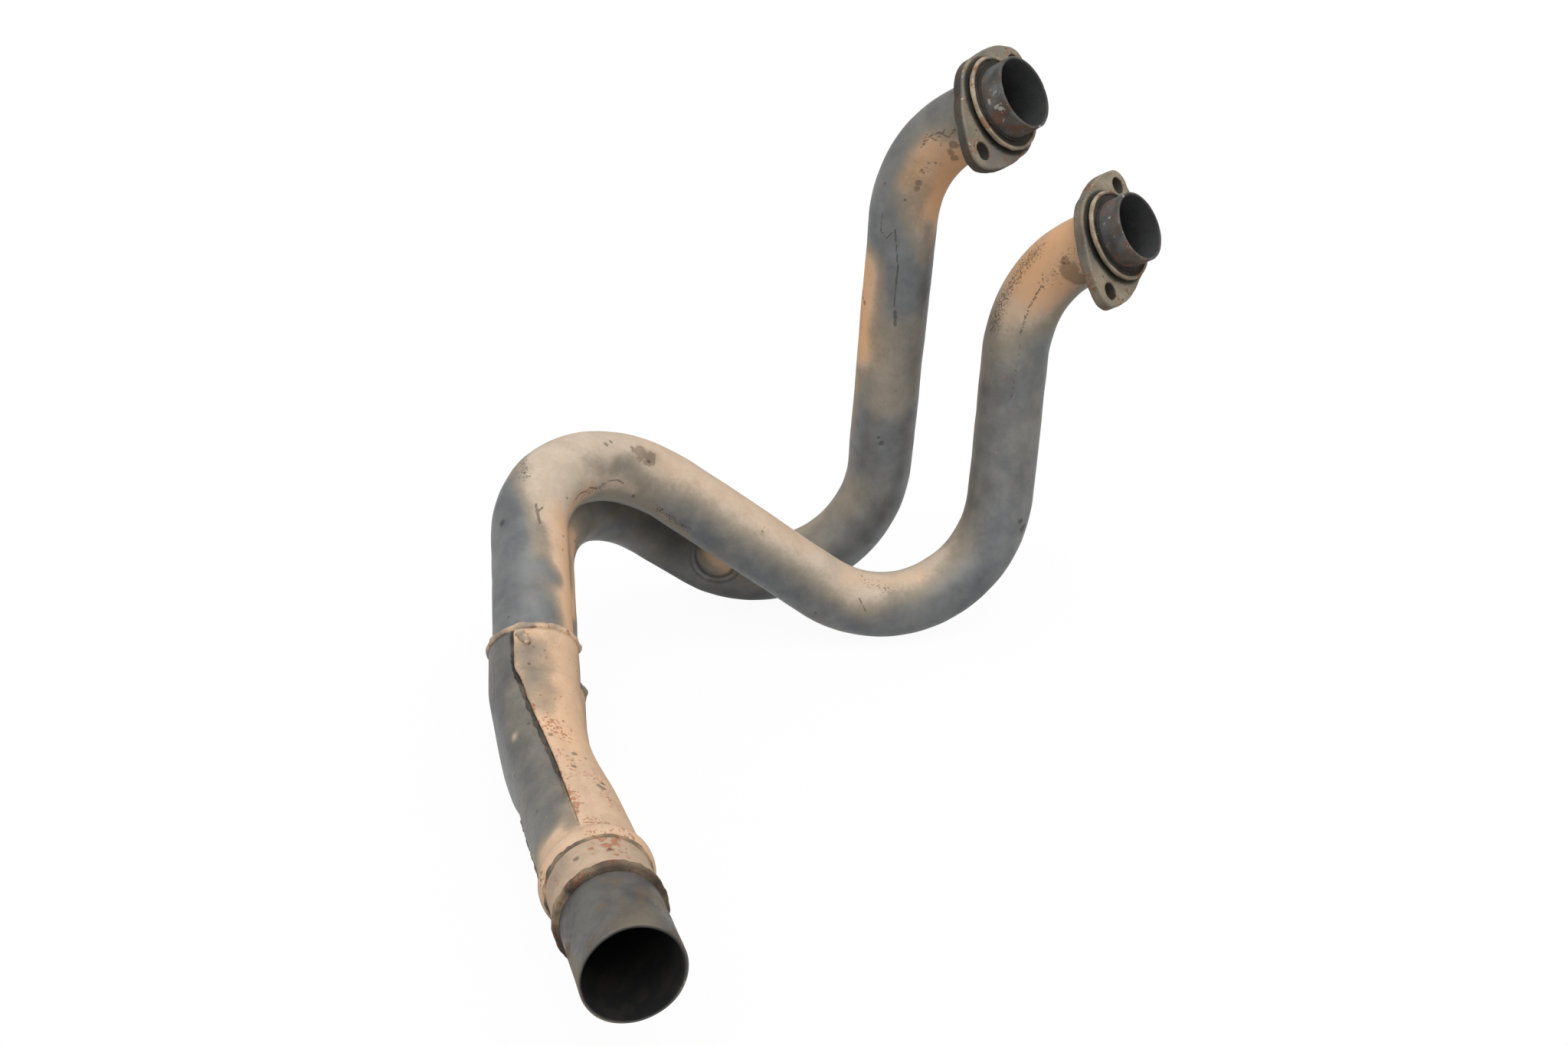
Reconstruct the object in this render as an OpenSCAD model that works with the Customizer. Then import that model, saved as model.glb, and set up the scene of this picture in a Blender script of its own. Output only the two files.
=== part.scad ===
// Two-into-one exhaust header for a twin-cylinder motorcycle.
// Two bent pipes run from the port flanges into a pressed collector, which ends in the outlet tube.
// Everything is built outwards from the collector's entry plane, so a change of length moves
// the rest of that pipe with its collar and its flange. All sizes are millimetres and degrees.

/* [Header tube] */
// outside diameter of both header pipes
tube_od = 38.1; // [32:0.1:45]
// wall of the header pipes
tube_wall = 1.5; // [1:0.1:2.5]
// centreline radius of every bend
bend_r = 68; // [58:1:90]
// length of each pipe inside its collector inlet
pipe_insert = 10; // [4:0.5:11]

/* [Lower pipe, from the collector to its port] */
// straight run above the collector
lower_run = 67.2; // [40:0.1:120]
// twist before the crest bend
lower_crest_twist = 123.3; // [110:0.1:135]
// angle of the crest bend
lower_crest_bend = 111.7; // [100:0.1:120]
// straight run down to the foot bend
lower_fall = 100.3; // [60:0.1:140]
// twist before the foot bend
lower_foot_twist = -124; // [-135:0.1:-110]
// angle of the foot bend
lower_foot_bend = 121.1; // [110:0.1:130]
// straight run up to the port bend
lower_rise = 80.7; // [50:0.1:120]
// twist before the port bend
lower_port_twist = 123.4; // [110:0.1:135]
// angle of the port bend
lower_port_bend = 66.7; // [55:0.1:80]
// straight end of the pipe, measured to its mouth
lower_port_run = 34.6; // [30:0.1:60]

/* [Upper pipe, from the collector to its port] */
// straight run above the collector
upper_run = 77; // [50:0.1:120]
// twist before the crest bend
upper_crest_twist = 130.1; // [120:0.1:140]
// angle of the crest bend
upper_crest_bend = 101; // [90:0.1:110]
// straight run down to the foot bend
upper_fall = 36.9; // [20:0.1:80]
// twist before the foot bend
upper_foot_twist = -110.5; // [-120:0.1:-100]
// angle of the foot bend
upper_foot_bend = 126.5; // [115:0.1:135]
// straight run up to the port bend
upper_rise = 148.6; // [110:0.1:190]
// twist before the port bend
upper_port_twist = 126.7; // [115:0.1:140]
// angle of the port bend
upper_port_bend = 55.7; // [45:0.1:70]
// straight end of the pipe, measured to its mouth
upper_port_run = 43.9; // [30:0.1:60]

/* [Port collars] */
// mouth of the pipe to the back face of its collar
collar_setback = 16.2; // [12:0.1:20]
// how far the collar's rim stands out from the pipe
collar_lip = 5.95; // [4:0.05:8]
// width of the rounded rim
rim_width = 2; // [1.5:0.1:3]
// depth of the whole collar along the pipe
collar_depth = 4; // [3:0.1:6]
// thickness of the collar's floor, behind the groove
collar_floor = 1.2; // [0.8:0.1:2]
// wall of the hub that meets the plate
hub_wall = 3.55; // [2.5:0.05:4]
// length of the hub
hub_length = 1.7; // [1:0.1:2.5]
// leg of the weld in the groove
collar_weld_leg = 1.2; // [0.6:0.1:2]

/* [Flange plates] */
// thickness of each plate
plate_thk = 6.5; // [5:0.5:10]
// metal beside the pipe at the plate's middle
plate_band = 8.65; // [8:0.05:13]
// how far the flanks' arcs would pass inside the plate's middle disc
flank_dip = 2; // [0.5:0.1:3]
// distance between the two stud holes
bolt_circle = 68.4; // [62:0.1:76]
// diameter of a stud hole
bolt_hole = 9; // [8:0.1:10.5]
// outside radius of an ear
ear_r = 9; // [8:0.5:12]
// clearance of the plate round the pipe, on the radius
plate_clearance = 0.5; // [0.3:0.1:1]
// clearance between the plate and its collar
plate_gap = 0.3; // [0.2:0.1:1]
// swivel of the lower plate about its port
lower_plate_swivel = -27.1; // [-180:0.1:180]
// swivel of the upper plate about its port
upper_plate_swivel = -54.8; // [-180:0.1:180]

/* [Collector] */
// gap between the two pipes where they enter
pipe_gap = 5.5; // [4:0.1:10]
// wall of both pressed shells
shell_wall = 1.5; // [1:0.1:2]
// clearance of an inlet round its pipe, on the radius
inlet_fit = 0.25; // [0.2:0.05:0.5]
// thickness of the web that joins the two inlets, in each shell
web_wall = 1.2; // [0.8:0.1:1.5]
// depth at which the valley between the inlets starts to fill
valley_start = 4; // [2:1:25]
// depth at which the valley is full
valley_end = 24; // [20:1:80]
// depth at which the two inlets start to merge into one round body
merge_start = 21; // [15:0.5:30]
// depth at which the body is round
merge_end = 122.5; // [100:0.5:150]
// how far the right side is pressed in
hollow = 3.9; // [0:0.1:6]
// depth of the middle of that hollow
hollow_at = 80; // [60:1:100]
// half length of the hollow
hollow_reach = 30; // [15:1:45]
// entry plane to the point where the body turns
body_drop = 31; // [28:0.5:40]
// turn of the body toward the lower pipe
body_turn = 34.1; // [25:0.1:40]
// tilt of the body to the side
body_tilt = -10.7; // [-15:0.1:-5]
// centreline radius of the body's turn, which its sections follow more slowly
body_bend_r = 25; // [15:1:60]
// turning point to the end of the shells
body_length = 143.2; // [120:0.1:160]
// how much wider than the outlet tube the body is before its rounded end, on the radius
body_margin = 1; // [0.5:0.1:3]
// length of the rounded end of the shells
bulge_length = 11; // [8:0.5:16]
// how far the crown of the rounded end stands over its mouth
crown = 0.5; // [0.2:0.1:1]
// front seam at the inlets, in degrees away from the lower pipe's outer line
seam_start = 15.5; // [5:0.5:25]
// front seam at the neck
seam_end = 5.7; // [0:0.1:15]
// depth at which the front seam starts to wander
seam_turn_start = 60; // [40:1:80]
// depth at which it has wandered
seam_turn_end = 115; // [90:1:140]
// how far the back seam wanders toward the left side
back_seam_end = 76; // [0:1:90]
// depth at which the back seam starts to wander
back_turn_start = 24; // [20:1:60]
// depth at which it has wandered
back_turn_end = 112; // [90:1:140]

/* [Outlet] */
// outside diameter of the outlet tube
outlet_od = 39; // [36:0.1:45]
// wall of the outlet tube
outlet_wall = 1.6; // [1.2:0.1:2.5]
// end of the shells to the outlet's mouth
outlet_length = 60.2; // [50:0.1:90]
// how much the tube is drawn in where the sleeve and the ring sit, on the radius
seat_draw = 0.3; // [0.1:0.05:0.6]
// how far that seat reaches past the ring
seat_margin = 0.5; // [0.3:0.1:2]
// wall of the outlet sleeve
sleeve_wall = 1.4; // [0.8:0.1:2]
// visible length of the sleeve
sleeve_length = 19.6; // [12:0.1:25]
// length of the sleeve inside the shells
sleeve_insert = 5; // [3:0.5:7]
// clearance of the shells' end round the sleeve, on the radius
neck_fit = 0.15; // [0.1:0.05:0.4]
// outside diameter of the stop ring
ring_od = 43.8; // [42:0.1:48]
// width of the stop ring
ring_width = 4; // [3:0.1:6]

/* [Welds] */
// leg of the bead round each pipe at its inlet
inlet_weld_leg = 1.9; // [1:0.1:3]
// leg of the bead between the neck and the sleeve
neck_weld_leg = 1.3; // [0.8:0.1:2]
// radius of the seam welds
seam_weld_r = 1; // [0.8:0.1:2]

/* [Pose on the bench] */
// turn of the collector about X
pose_x = -6.3; // [-30:0.1:30]
// turn of the collector about Y
pose_y = 63.3; // [40:0.1:90]
// turn of the collector about Z
pose_z = 92.2; // [0:0.1:180]
// shift along X
shift_x = -143.1; // [-250:0.1:0]
// shift along Y
shift_y = 3.9; // [-100:0.1:100]
// shift along Z
shift_z = 54.7; // [0:0.1:120]

/* [Hidden] */
$fn = 64;

// The bends are drawn a hair slimmer than the straights, so each straight swallows their ends.
bend_draw = 0.1;
lap = 0.5;
flank_draw = 0.03;

inlet_spacing = tube_od + pipe_gap;
collar_od = tube_od + 2 * collar_lip;
hub_od = tube_od + 2 * hub_wall;
plate_width = tube_od + 2 * plate_band;

lower_path = [[lower_run, lower_crest_twist, lower_crest_bend],
  [lower_fall, lower_foot_twist, lower_foot_bend],
  [lower_rise, lower_port_twist, lower_port_bend]];
upper_path = [[upper_run, upper_crest_twist, upper_crest_bend],
  [upper_fall, upper_foot_twist, upper_foot_bend],
  [upper_rise, upper_port_twist, upper_port_bend]];

plate_front = collar_setback + plate_gap;
collar_front = collar_setback - collar_depth;
seat_od = outlet_od - 2 * seat_draw;
sleeve_od = seat_od + 2 * sleeve_wall;

inlet_r = tube_od / 2 + inlet_fit + shell_wall;
neck_end_r = sleeve_od / 2 + neck_fit + shell_wall;
neck_r = outlet_od / 2 + body_margin;

// ---- frames ----

module on_bench() {
  translate([shift_x, shift_y, shift_z]) rotate([pose_x, pose_y, pose_z]) children();
}

module at_inlet(side) {
  on_bench() translate([side * inlet_spacing / 2, 0, 0]) children();
}

// Along the body's axis, z out of the outlet, from the point where the body turns.
module at_body() {
  on_bench() translate([0, 0, -body_drop]) rotate([0, body_turn, 0]) rotate([body_tilt, 0, 0])
    rotate([180, 0, 0]) children();
}

// ---- header pipes ----

module straight_section() {
  difference() {
    circle(d = tube_od);
    circle(d = tube_od - 2 * tube_wall);
  }
}

module bend_section() {
  difference() {
    circle(d = tube_od - bend_draw);
    circle(d = tube_od - 2 * tube_wall + bend_draw);
  }
}

module straight(length, before, after) {
  translate([0, 0, -before]) linear_extrude(length + before + after) straight_section();
}

// A bend turns the tube's z axis toward -x.
module bend(angle) {
  translate([-bend_r, 0, 0]) rotate([90, 0, 0])
    rotate_extrude(angle = angle) translate([bend_r, 0]) bend_section();
}

module after_bend(angle) {
  translate([-bend_r, 0, 0]) rotate([0, -angle, 0]) translate([bend_r, 0, 0]) children();
}

module bent_tube(path, last, start, i = 0) {
  before = i == 0 ? start : lap;
  if (i == len(path)) straight(last, before, 0);
  else {
    straight(path[i][0], before, lap);
    translate([0, 0, path[i][0]]) rotate([0, 0, path[i][1]]) {
      bend(path[i][2]);
      after_bend(path[i][2]) bent_tube(path, last, start, i + 1);
    }
  }
}

module at_mouth(path, last, i = 0) {
  if (i == len(path)) translate([0, 0, last]) children();
  else translate([0, 0, path[i][0]]) rotate([0, 0, path[i][1]])
    after_bend(path[i][2]) at_mouth(path, last, i + 1) children();
}

module at_lower_mouth() {
  at_inlet(-1) at_mouth(lower_path, lower_port_run) children();
}

module at_upper_mouth() {
  at_inlet(1) at_mouth(upper_path, upper_port_run) children();
}

module lower_header_pipe() {
  color("DarkGray") at_inlet(-1) bent_tube(lower_path, lower_port_run, pipe_insert);
}

module upper_header_pipe() {
  color("Gray") at_inlet(1) bent_tube(upper_path, upper_port_run, pipe_insert);
}

// ---- port flanges and collars ----

// A disc, two ears, and a lens whose flanks touch both ears' circles. The flanks are drawn
// a hair inside those circles, so that they cross them.
module plate_blank() {
  reach = bolt_circle / 2;
  half = plate_width / 2 - flank_dip;
  flank_r = (reach * reach + half * half - ear_r * ear_r) / (2 * (half - ear_r));
  touch_x = reach * flank_r / (flank_r - ear_r);
  cylinder(d = plate_width, h = plate_thk);
  for (side = [-1, 1]) translate([side * reach, 0, 0]) cylinder(r = ear_r, h = plate_thk);
  intersection() {
    translate([0, flank_r - half, 0]) cylinder(r = flank_r - flank_draw, h = plate_thk, $fn = 128);
    translate([0, half - flank_r, 0]) cylinder(r = flank_r - flank_draw, h = plate_thk, $fn = 128);
    translate([-touch_x, -half, 0]) cube([2 * touch_x, 2 * half, plate_thk]);
  }
}

module flange_plate() {
  translate([0, 0, -plate_front - plate_thk]) difference() {
    plate_blank();
    translate([0, 0, -1]) cylinder(d = tube_od + 2 * plate_clearance, h = plate_thk + 2);
    for (side = [-1, 1]) translate([side * bolt_circle / 2, 0, -1])
      cylinder(d = bolt_hole, h = plate_thk + 2);
  }
}

module lower_flange() {
  color("DarkKhaki") at_lower_mouth() rotate([0, 0, lower_plate_swivel]) flange_plate();
}

module upper_flange() {
  color("DarkKhaki") at_upper_mouth() rotate([0, 0, upper_plate_swivel]) flange_plate();
}

// A dished ring: hub, floor and rounded rim, with a groove between the rim and the pipe.
module port_collar() {
  floor_back = -collar_setback + hub_length;
  rim_r = rim_width / 2;
  rotate_extrude() difference() {
    union() {
      translate([0, -collar_setback]) square([hub_od / 2, hub_length + collar_floor / 2]);
      translate([0, floor_back]) square([collar_od / 2, collar_floor]);
      translate([collar_od / 2 - rim_width, floor_back])
        square([rim_width, -collar_front - floor_back - rim_r]);
      translate([collar_od / 2 - rim_r, -collar_front - rim_r]) circle(r = rim_r, $fn = 32);
    }
    translate([0, -collar_setback - 1]) square([tube_od / 2, collar_depth + 2]);
  }
}

module lower_port_collar() {
  color("Tan") at_lower_mouth() port_collar();
}

module upper_port_collar() {
  color("Tan") at_upper_mouth() port_collar();
}

// A weld bead: a quarter round in the corner at radius r, with its foot at z = 0.
module corner_bead(r, leg) {
  rotate_extrude() translate([r, 0]) intersection() {
    circle(r = leg, $fn = 32);
    square(leg + 1);
  }
}

module collar_bead() {
  translate([0, 0, -collar_setback + hub_length + collar_floor])
    corner_bead(tube_od / 2, collar_weld_leg);
}

module lower_collar_weld() {
  color("DimGray") at_lower_mouth() collar_bead();
}

module upper_collar_weld() {
  color("DimGray") at_upper_mouth() collar_bead();
}

module lower_inlet_weld() {
  color("Tan") at_inlet(-1) corner_bead(tube_od / 2, inlet_weld_leg);
}

module upper_inlet_weld() {
  color("Tan") at_inlet(1) corner_bead(tube_od / 2, inlet_weld_leg);
}

// ---- collector shells ----

// The centre path: straight down from the entry plane, an arc, then straight to the neck.
// The sections start to turn before the arc and end after it, so that the shells bend gently.
body_dir = [-sin(body_turn) * cos(body_tilt), sin(body_tilt), -cos(body_turn) * cos(body_tilt)];
full_turn = acos(-body_dir[2]);
turn_axis = cross([0, 0, -1], body_dir) / norm(cross([0, 0, -1], body_dir));
arc_tangent = body_bend_r * tan(full_turn / 2);
arc_start = body_drop - arc_tangent;
arc_length = body_bend_r * full_turn * PI / 180;
arc_end = arc_start + arc_length;
neck_end = arc_end + body_length - arc_tangent;
bulge_start = neck_end - bulge_length;
turn_start = pipe_insert - 2;
turn_end = 2 * body_drop + 4;

function smooth(x) = let (t = min(1, max(0, x))) t * t * (3 - 2 * t);
function turned(v, a) = v * cos(a) + cross(turn_axis, v) * sin(a)
  + turn_axis * (turn_axis * v) * (1 - cos(a));
function turn_at(s) = full_turn * smooth((s - turn_start) / (turn_end - turn_start));
function centre_at(s) =
  s <= arc_start ? [0, 0, -s]
  : s >= arc_end ? [0, 0, -body_drop] + body_dir * (arc_tangent + s - arc_end)
  : let (a = full_turn * (s - arc_start) / arc_length, inward = cross(turn_axis, [0, 0, -1]))
    [0, 0, -arc_start] + body_bend_r * ([0, 0, -1] * sin(a) + inward * (1 - cos(a)));

// How far the section has changed from two inlets side by side to one round neck.
function merged(s) = smooth((s - merge_start) / (merge_end - merge_start));
function valley_fill(s) = smooth((s - valley_start) / (valley_end - valley_start));
function neck_radius(s) = let (x = (s - bulge_start) / bulge_length)
  neck_r + (neck_end_r + crown - neck_r) * smooth(x / 0.6) - crown * smooth((x - 0.7) / 0.3);
function hollowed(s, p) = hollow * exp(-pow((s - hollow_at) / hollow_reach, 2)) * sin(p);

// The entry section at p degrees round: each inlet takes 90 degrees, two thirds of them outside.
function inlet_angle(p) = p <= 60 ? 1.5 * p : 90 + 3 * (p - 60);
function inlet_quarter(p, r, fill, web) =
  let (a = inlet_angle(p), lift = a <= 90 ? sin(a) : sin(a) + (1 - sin(a)) * fill)
  [inlet_spacing / 2 + r * cos(a), a <= 90 ? r * lift : web + (r - web) * lift];
function inlet_half(p, r, fill, web) =
  p <= 90 ? inlet_quarter(p, r, fill, web)
  : let (q = inlet_quarter(180 - p, r, fill, web)) [-q[0], q[1]];
function section_half(s, p, inset) =
  let (w = merged(s), a = inlet_half(p, inlet_r - inset, valley_fill(s), inset > 0 ? 0 : web_wall),
    r = neck_radius(s) - inset)
  (1 - w) * a + w * [r * cos(p), r * sin(p)];

// p runs from 0 on the upper pipe's outer line over the left side to 180 on the lower pipe's.
function section_point(s, p, inset) =
  let (q = p > 180 ? 360 - p : p, v = section_half(s, q, inset),
    y = p > 180 ? hollowed(s, q) - v[1] : v[1])
  centre_at(s) + turned([1, 0, 0], turn_at(s)) * v[0] + turned([0, 1, 0], turn_at(s)) * y;

function front_seam(s) = 180 - seam_start
  + (seam_start - seam_end) * smooth((s - seam_turn_start) / (seam_turn_end - seam_turn_start));
function back_seam(s) =
  back_seam_end * smooth((s - back_turn_start) / (back_turn_end - back_turn_start));

turn_rows = 9;
body_rows = 7;
bulge_rows = 5;
stations = concat([0],
  [for (i = [0:turn_rows]) turn_start + i * (turn_end - turn_start) / turn_rows],
  [for (i = [1:body_rows]) turn_end + i * (bulge_start - turn_end) / body_rows],
  [for (i = [1:bulge_rows]) bulge_start + i * bulge_length / bulge_rows]);

// One pressed half between two seams, given as the section angles at each station.
module shell_half(from, to, columns) {
  rows = len(stations);
  ring = 2 * (columns + 1);
  points = [for (i = [0:rows - 1], k = [0, 1], j = [0:columns])
    section_point(stations[i], from[i] + (to[i] - from[i]) * j / columns, k * shell_wall)];
  function outer(i, j) = i * ring + j;
  function inner(i, j) = i * ring + columns + 1 + j;
  faces = concat(
    [for (i = [0:rows - 2], j = [0:columns - 1]) each [
      [outer(i, j), outer(i + 1, j), outer(i + 1, j + 1)],
      [outer(i, j), outer(i + 1, j + 1), outer(i, j + 1)],
      [inner(i, j), inner(i + 1, j + 1), inner(i + 1, j)],
      [inner(i, j), inner(i, j + 1), inner(i + 1, j + 1)]]],
    [for (i = [0:rows - 2]) each [
      [outer(i, 0), inner(i, 0), inner(i + 1, 0)],
      [outer(i, 0), inner(i + 1, 0), outer(i + 1, 0)],
      [outer(i, columns), inner(i + 1, columns), inner(i, columns)],
      [outer(i, columns), outer(i + 1, columns), inner(i + 1, columns)]]],
    [for (j = [0:columns - 1]) each [
      [outer(0, j), outer(0, j + 1), inner(0, j + 1)],
      [outer(0, j), inner(0, j + 1), inner(0, j)],
      [outer(rows - 1, j), inner(rows - 1, j + 1), outer(rows - 1, j + 1)],
      [outer(rows - 1, j), inner(rows - 1, j), inner(rows - 1, j + 1)]]]);
  polyhedron(points, faces, convexity = 6);
}

module collector_left_shell() {
  color("SlateGray") on_bench() shell_half([for (s = stations) back_seam(s)],
    [for (s = stations) front_seam(s)], 33);
}

module collector_right_shell() {
  color("BurlyWood") on_bench() shell_half([for (s = stations) front_seam(s)],
    [for (s = stations) 360 + back_seam(s)], 39);
}

// A seam weld: a round bead along points on the shells, capped at both ends.
module seam_bead(line) {
  sides = 8;
  last = len(line) - 1;
  points = [for (i = [0:last])
    let (t = line[min(last, i + 1)] - line[max(0, i - 1)], z = t / norm(t),
      u0 = cross(z, [0, 0.3, 1]), u = u0 / norm(u0), v = cross(z, u))
    for (k = [0:sides - 1])
      line[i] + seam_weld_r * (u * cos(360 * k / sides) + v * sin(360 * k / sides))];
  faces = concat([[for (k = [0:sides - 1]) k]],
    [for (i = [0:last - 1], k = [0:sides - 1]) let (n = (k + 1) % sides) each [
      [i * sides + k, (i + 1) * sides + k, (i + 1) * sides + n],
      [i * sides + k, (i + 1) * sides + n, i * sides + n]]],
    [[for (k = [sides - 1:-1:0]) last * sides + k]]);
  polyhedron(points, faces, convexity = 4);
}

seam_rows = 24;
seam_first = inlet_weld_leg;
seam_last = bulge_start - 1;

module front_seam_weld() {
  color("Tan") on_bench() seam_bead([for (i = [0:seam_rows])
    let (s = seam_first + i * (seam_last - seam_first) / seam_rows)
    section_point(s, front_seam(s), 0)]);
}

module back_seam_weld() {
  color("Tan") on_bench() seam_bead([for (i = [0:seam_rows])
    let (s = seam_first + i * (seam_last - seam_first) / seam_rows)
    section_point(s, back_seam(s), 0)]);
}

// ---- outlet ----

ring_back = body_length + sleeve_length;
seat_end = ring_back + ring_width + seat_margin;
outlet_mouth = body_length + outlet_length;

module pipe_piece(od, wall, from, to) {
  translate([0, 0, from]) linear_extrude(to - from) difference() {
    circle(d = od);
    circle(d = od - 2 * wall);
  }
}

module outlet_sleeve() {
  color("Wheat") at_body() pipe_piece(sleeve_od, sleeve_wall, body_length - sleeve_insert, ring_back);
}

module outlet_tube() {
  back = body_length - sleeve_insert;
  color("DimGray") at_body() difference() {
    union() {
      translate([0, 0, back]) cylinder(d = seat_od, h = seat_end + lap - back);
      translate([0, 0, seat_end]) cylinder(d = outlet_od, h = outlet_mouth - seat_end);
    }
    translate([0, 0, back - 1]) cylinder(d = outlet_od - 2 * outlet_wall, h = outlet_mouth - back + 2);
  }
}

module stop_ring() {
  rim = (ring_od - outlet_od) / 4;
  color("SaddleBrown") at_body() translate([0, 0, ring_back]) rotate_extrude() difference() {
    union() {
      square([ring_od / 2 - rim, ring_width]);
      translate([0, rim]) square([ring_od / 2, ring_width - 2 * rim]);
      for (z = [rim, ring_width - rim]) translate([ring_od / 2 - rim, z]) circle(r = rim, $fn = 32);
    }
    translate([0, -1]) square([seat_od / 2, ring_width + 2]);
  }
}

module neck_weld() {
  color("SaddleBrown") at_body() translate([0, 0, body_length]) corner_bead(sleeve_od / 2, neck_weld_leg);
}

upper_header_pipe();
lower_header_pipe();
upper_flange();
lower_flange();
upper_port_collar();
lower_port_collar();
upper_collar_weld();
lower_collar_weld();
upper_inlet_weld();
lower_inlet_weld();
collector_left_shell();
collector_right_shell();
front_seam_weld();
back_seam_weld();
neck_weld();
outlet_sleeve();
stop_ring();
outlet_tube();
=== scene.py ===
"""Dressed model of a two-into-one exhaust header: bent pipes, pressed collector, port plates, outlet.

The shape functions work in millimetres in the collector's own frame, as the solids do, and
to_bench() brings their points into the shared frame in metres.
"""

import bpy
import numpy as np
from mathutils import Matrix


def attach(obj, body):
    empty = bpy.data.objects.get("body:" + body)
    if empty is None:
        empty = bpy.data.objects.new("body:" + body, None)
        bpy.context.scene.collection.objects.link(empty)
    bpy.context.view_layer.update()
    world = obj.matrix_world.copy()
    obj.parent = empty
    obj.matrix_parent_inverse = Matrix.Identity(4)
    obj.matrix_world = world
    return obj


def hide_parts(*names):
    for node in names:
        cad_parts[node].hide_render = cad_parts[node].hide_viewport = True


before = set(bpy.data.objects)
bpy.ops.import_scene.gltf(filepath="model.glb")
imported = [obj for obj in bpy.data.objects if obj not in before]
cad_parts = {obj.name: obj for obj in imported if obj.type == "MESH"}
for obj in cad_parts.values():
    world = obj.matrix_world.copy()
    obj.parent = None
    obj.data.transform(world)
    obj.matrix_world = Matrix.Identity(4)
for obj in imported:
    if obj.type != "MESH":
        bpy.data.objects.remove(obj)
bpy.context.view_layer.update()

MILLIMETRE = 0.001

# ---- sizes, in millimetres and degrees ----

TUBE_R = 19.05
TUBE_WALL = 1.5
BEND_R = 68.0
PIPE_INSERT = 10.0
INLET_SPACING = 43.6
LOWER_BENDS = ((67.2, 123.3, 111.7), (100.3, -124.0, 121.1), (80.7, 123.4, 66.7))
LOWER_END = 34.6
UPPER_BENDS = ((77.0, 130.1, 101.0), (36.9, -110.5, 126.5), (148.6, 126.7, 55.7))
UPPER_END = 43.9

COLLAR_SETBACK = 16.2
COLLAR_R = 25.0
RIM_WIDTH = 2.0
COLLAR_DEPTH = 4.0
COLLAR_FLOOR = 1.2
HUB_R = 22.6
HUB_LENGTH = 1.7

PLATE_FRONT = 16.5
PLATE_THK = 6.5
PLATE_MIDDLE_R = 27.7
PLATE_FLANK = 25.7
STUD_REACH = 34.2
STUD_HOLE_R = 4.5
EAR_R = 9.0
PLATE_BORE_R = 19.55
LOWER_SWIVEL = -27.1
UPPER_SWIVEL = -54.8

SHELL_WALL = 1.5
INLET_R = TUBE_R + 0.25 + SHELL_WALL
WEB_WALL = 1.2
VALLEY = (4.0, 24.0)
MERGE = (21.0, 122.5)
HOLLOW, HOLLOW_AT, HOLLOW_REACH = 3.9, 80.0, 30.0
BODY_DROP = 31.0
BODY_TURN = 34.1
BODY_TILT = -10.7
BODY_BEND_R = 25.0
BODY_LENGTH = 143.2
NECK_R = 20.5
NECK_END_R = 22.25
CROWN = 0.5
BULGE_LENGTH = 11.0
SECTION_TURN = (8.0, 66.0)
FRONT_SEAM = (164.5, 174.3, 60.0, 115.0)
LAP_EDGE = 3.6
BACK_SEAM = (76.0, 24.0, 112.0)

OUTLET_R = 19.5
OUTLET_WALL = 1.6
SLEEVE_R = 20.6
SLEEVE_INNER_R = 19.2
SLEEVE_INSERT = 5.0
RING_BACK = 162.8
RING_R = 21.9
RING_WIDTH = 4.0
OUTLET_MOUTH = 203.4

POSE_TURN = (-6.3, 63.3, 92.2)
POSE_SHIFT = np.array([-143.1, 3.9, 54.7])

# ---- the camera, as the photograph was taken ----

CAMERA_PLACE = np.array([-29.33, -595.46, 418.82])
CAMERA_RIGHT = np.array([0.99986, 0.0019, 0.016622])
CAMERA_UP = np.array([-0.015855, 0.424799, 0.905149])
CAMERA_BACK = np.array([-0.005341, -0.905286, 0.424769])
FOCAL_PIXELS = 1884.1
IMAGE_SIZE = (2047, 1365)


# ---- numbers and frames ----

def smooth(x):
    """Rises from 0 to 1 between x = 0 and 1 as 3 x squared minus 2 x cubed."""
    t = np.clip(x, 0.0, 1.0)
    return t * t * (3 - 2 * t)


def held(values):
    """Values held between 0 and 1."""
    return np.clip(values, 0, 1)


def turned(vectors, axis, degrees):
    """Vectors turned about a unit axis: v cos a + (axis x v) sin a + axis (axis . v)(1 - cos a)."""
    a = np.radians(degrees)[..., None]
    along = (vectors * axis).sum(-1, keepdims=True)
    return vectors * np.cos(a) + np.cross(axis, vectors) * np.sin(a) + axis * along * (1 - np.cos(a))


def turn_matrix(axis, degrees):
    """Matrix that turns column vectors about an axis."""
    return turned(np.eye(3), np.array(axis, float), np.full(3, float(degrees))).T


POSE = (turn_matrix((0, 0, 1), POSE_TURN[2]) @ turn_matrix((0, 1, 0), POSE_TURN[1])
        @ turn_matrix((1, 0, 0), POSE_TURN[0]))


def to_bench(points):
    """Points of the collector's frame in the shared frame, still in millimetres."""
    return points @ POSE.T + POSE_SHIFT


def waves(points, length, seed, count=28):
    """A smooth random field, mostly within -1..1: a sum of sine waves in random directions, about one
    wavelength long, times 1.4 over the root of their count."""
    draw = np.random.default_rng(seed)
    ways = draw.normal(size=(count, 3))
    lengths = np.linalg.norm(ways, axis=1, keepdims=True)
    ways *= (2 * np.pi / length) * draw.uniform(0.6, 1.5, (count, 1)) / lengths
    phases = draw.uniform(0, 2 * np.pi, count)
    total = np.zeros(points.shape[:-1])
    for way, phase in zip(ways, phases):
        total += np.sin(points @ way + phase)
    return total * (1.4 / np.sqrt(count))


def patchy(points, level, swing, length, seed):
    """A level that drifts from place to place: level + swing times waves, held between 0 and 1."""
    return held(level + swing * waves(points, length, seed))


# ---- marks found by their place in the photograph ----

PIXELS_NEAR, WALL_NEAR, NEVER = 5.0, 8.0, 1e6


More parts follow.
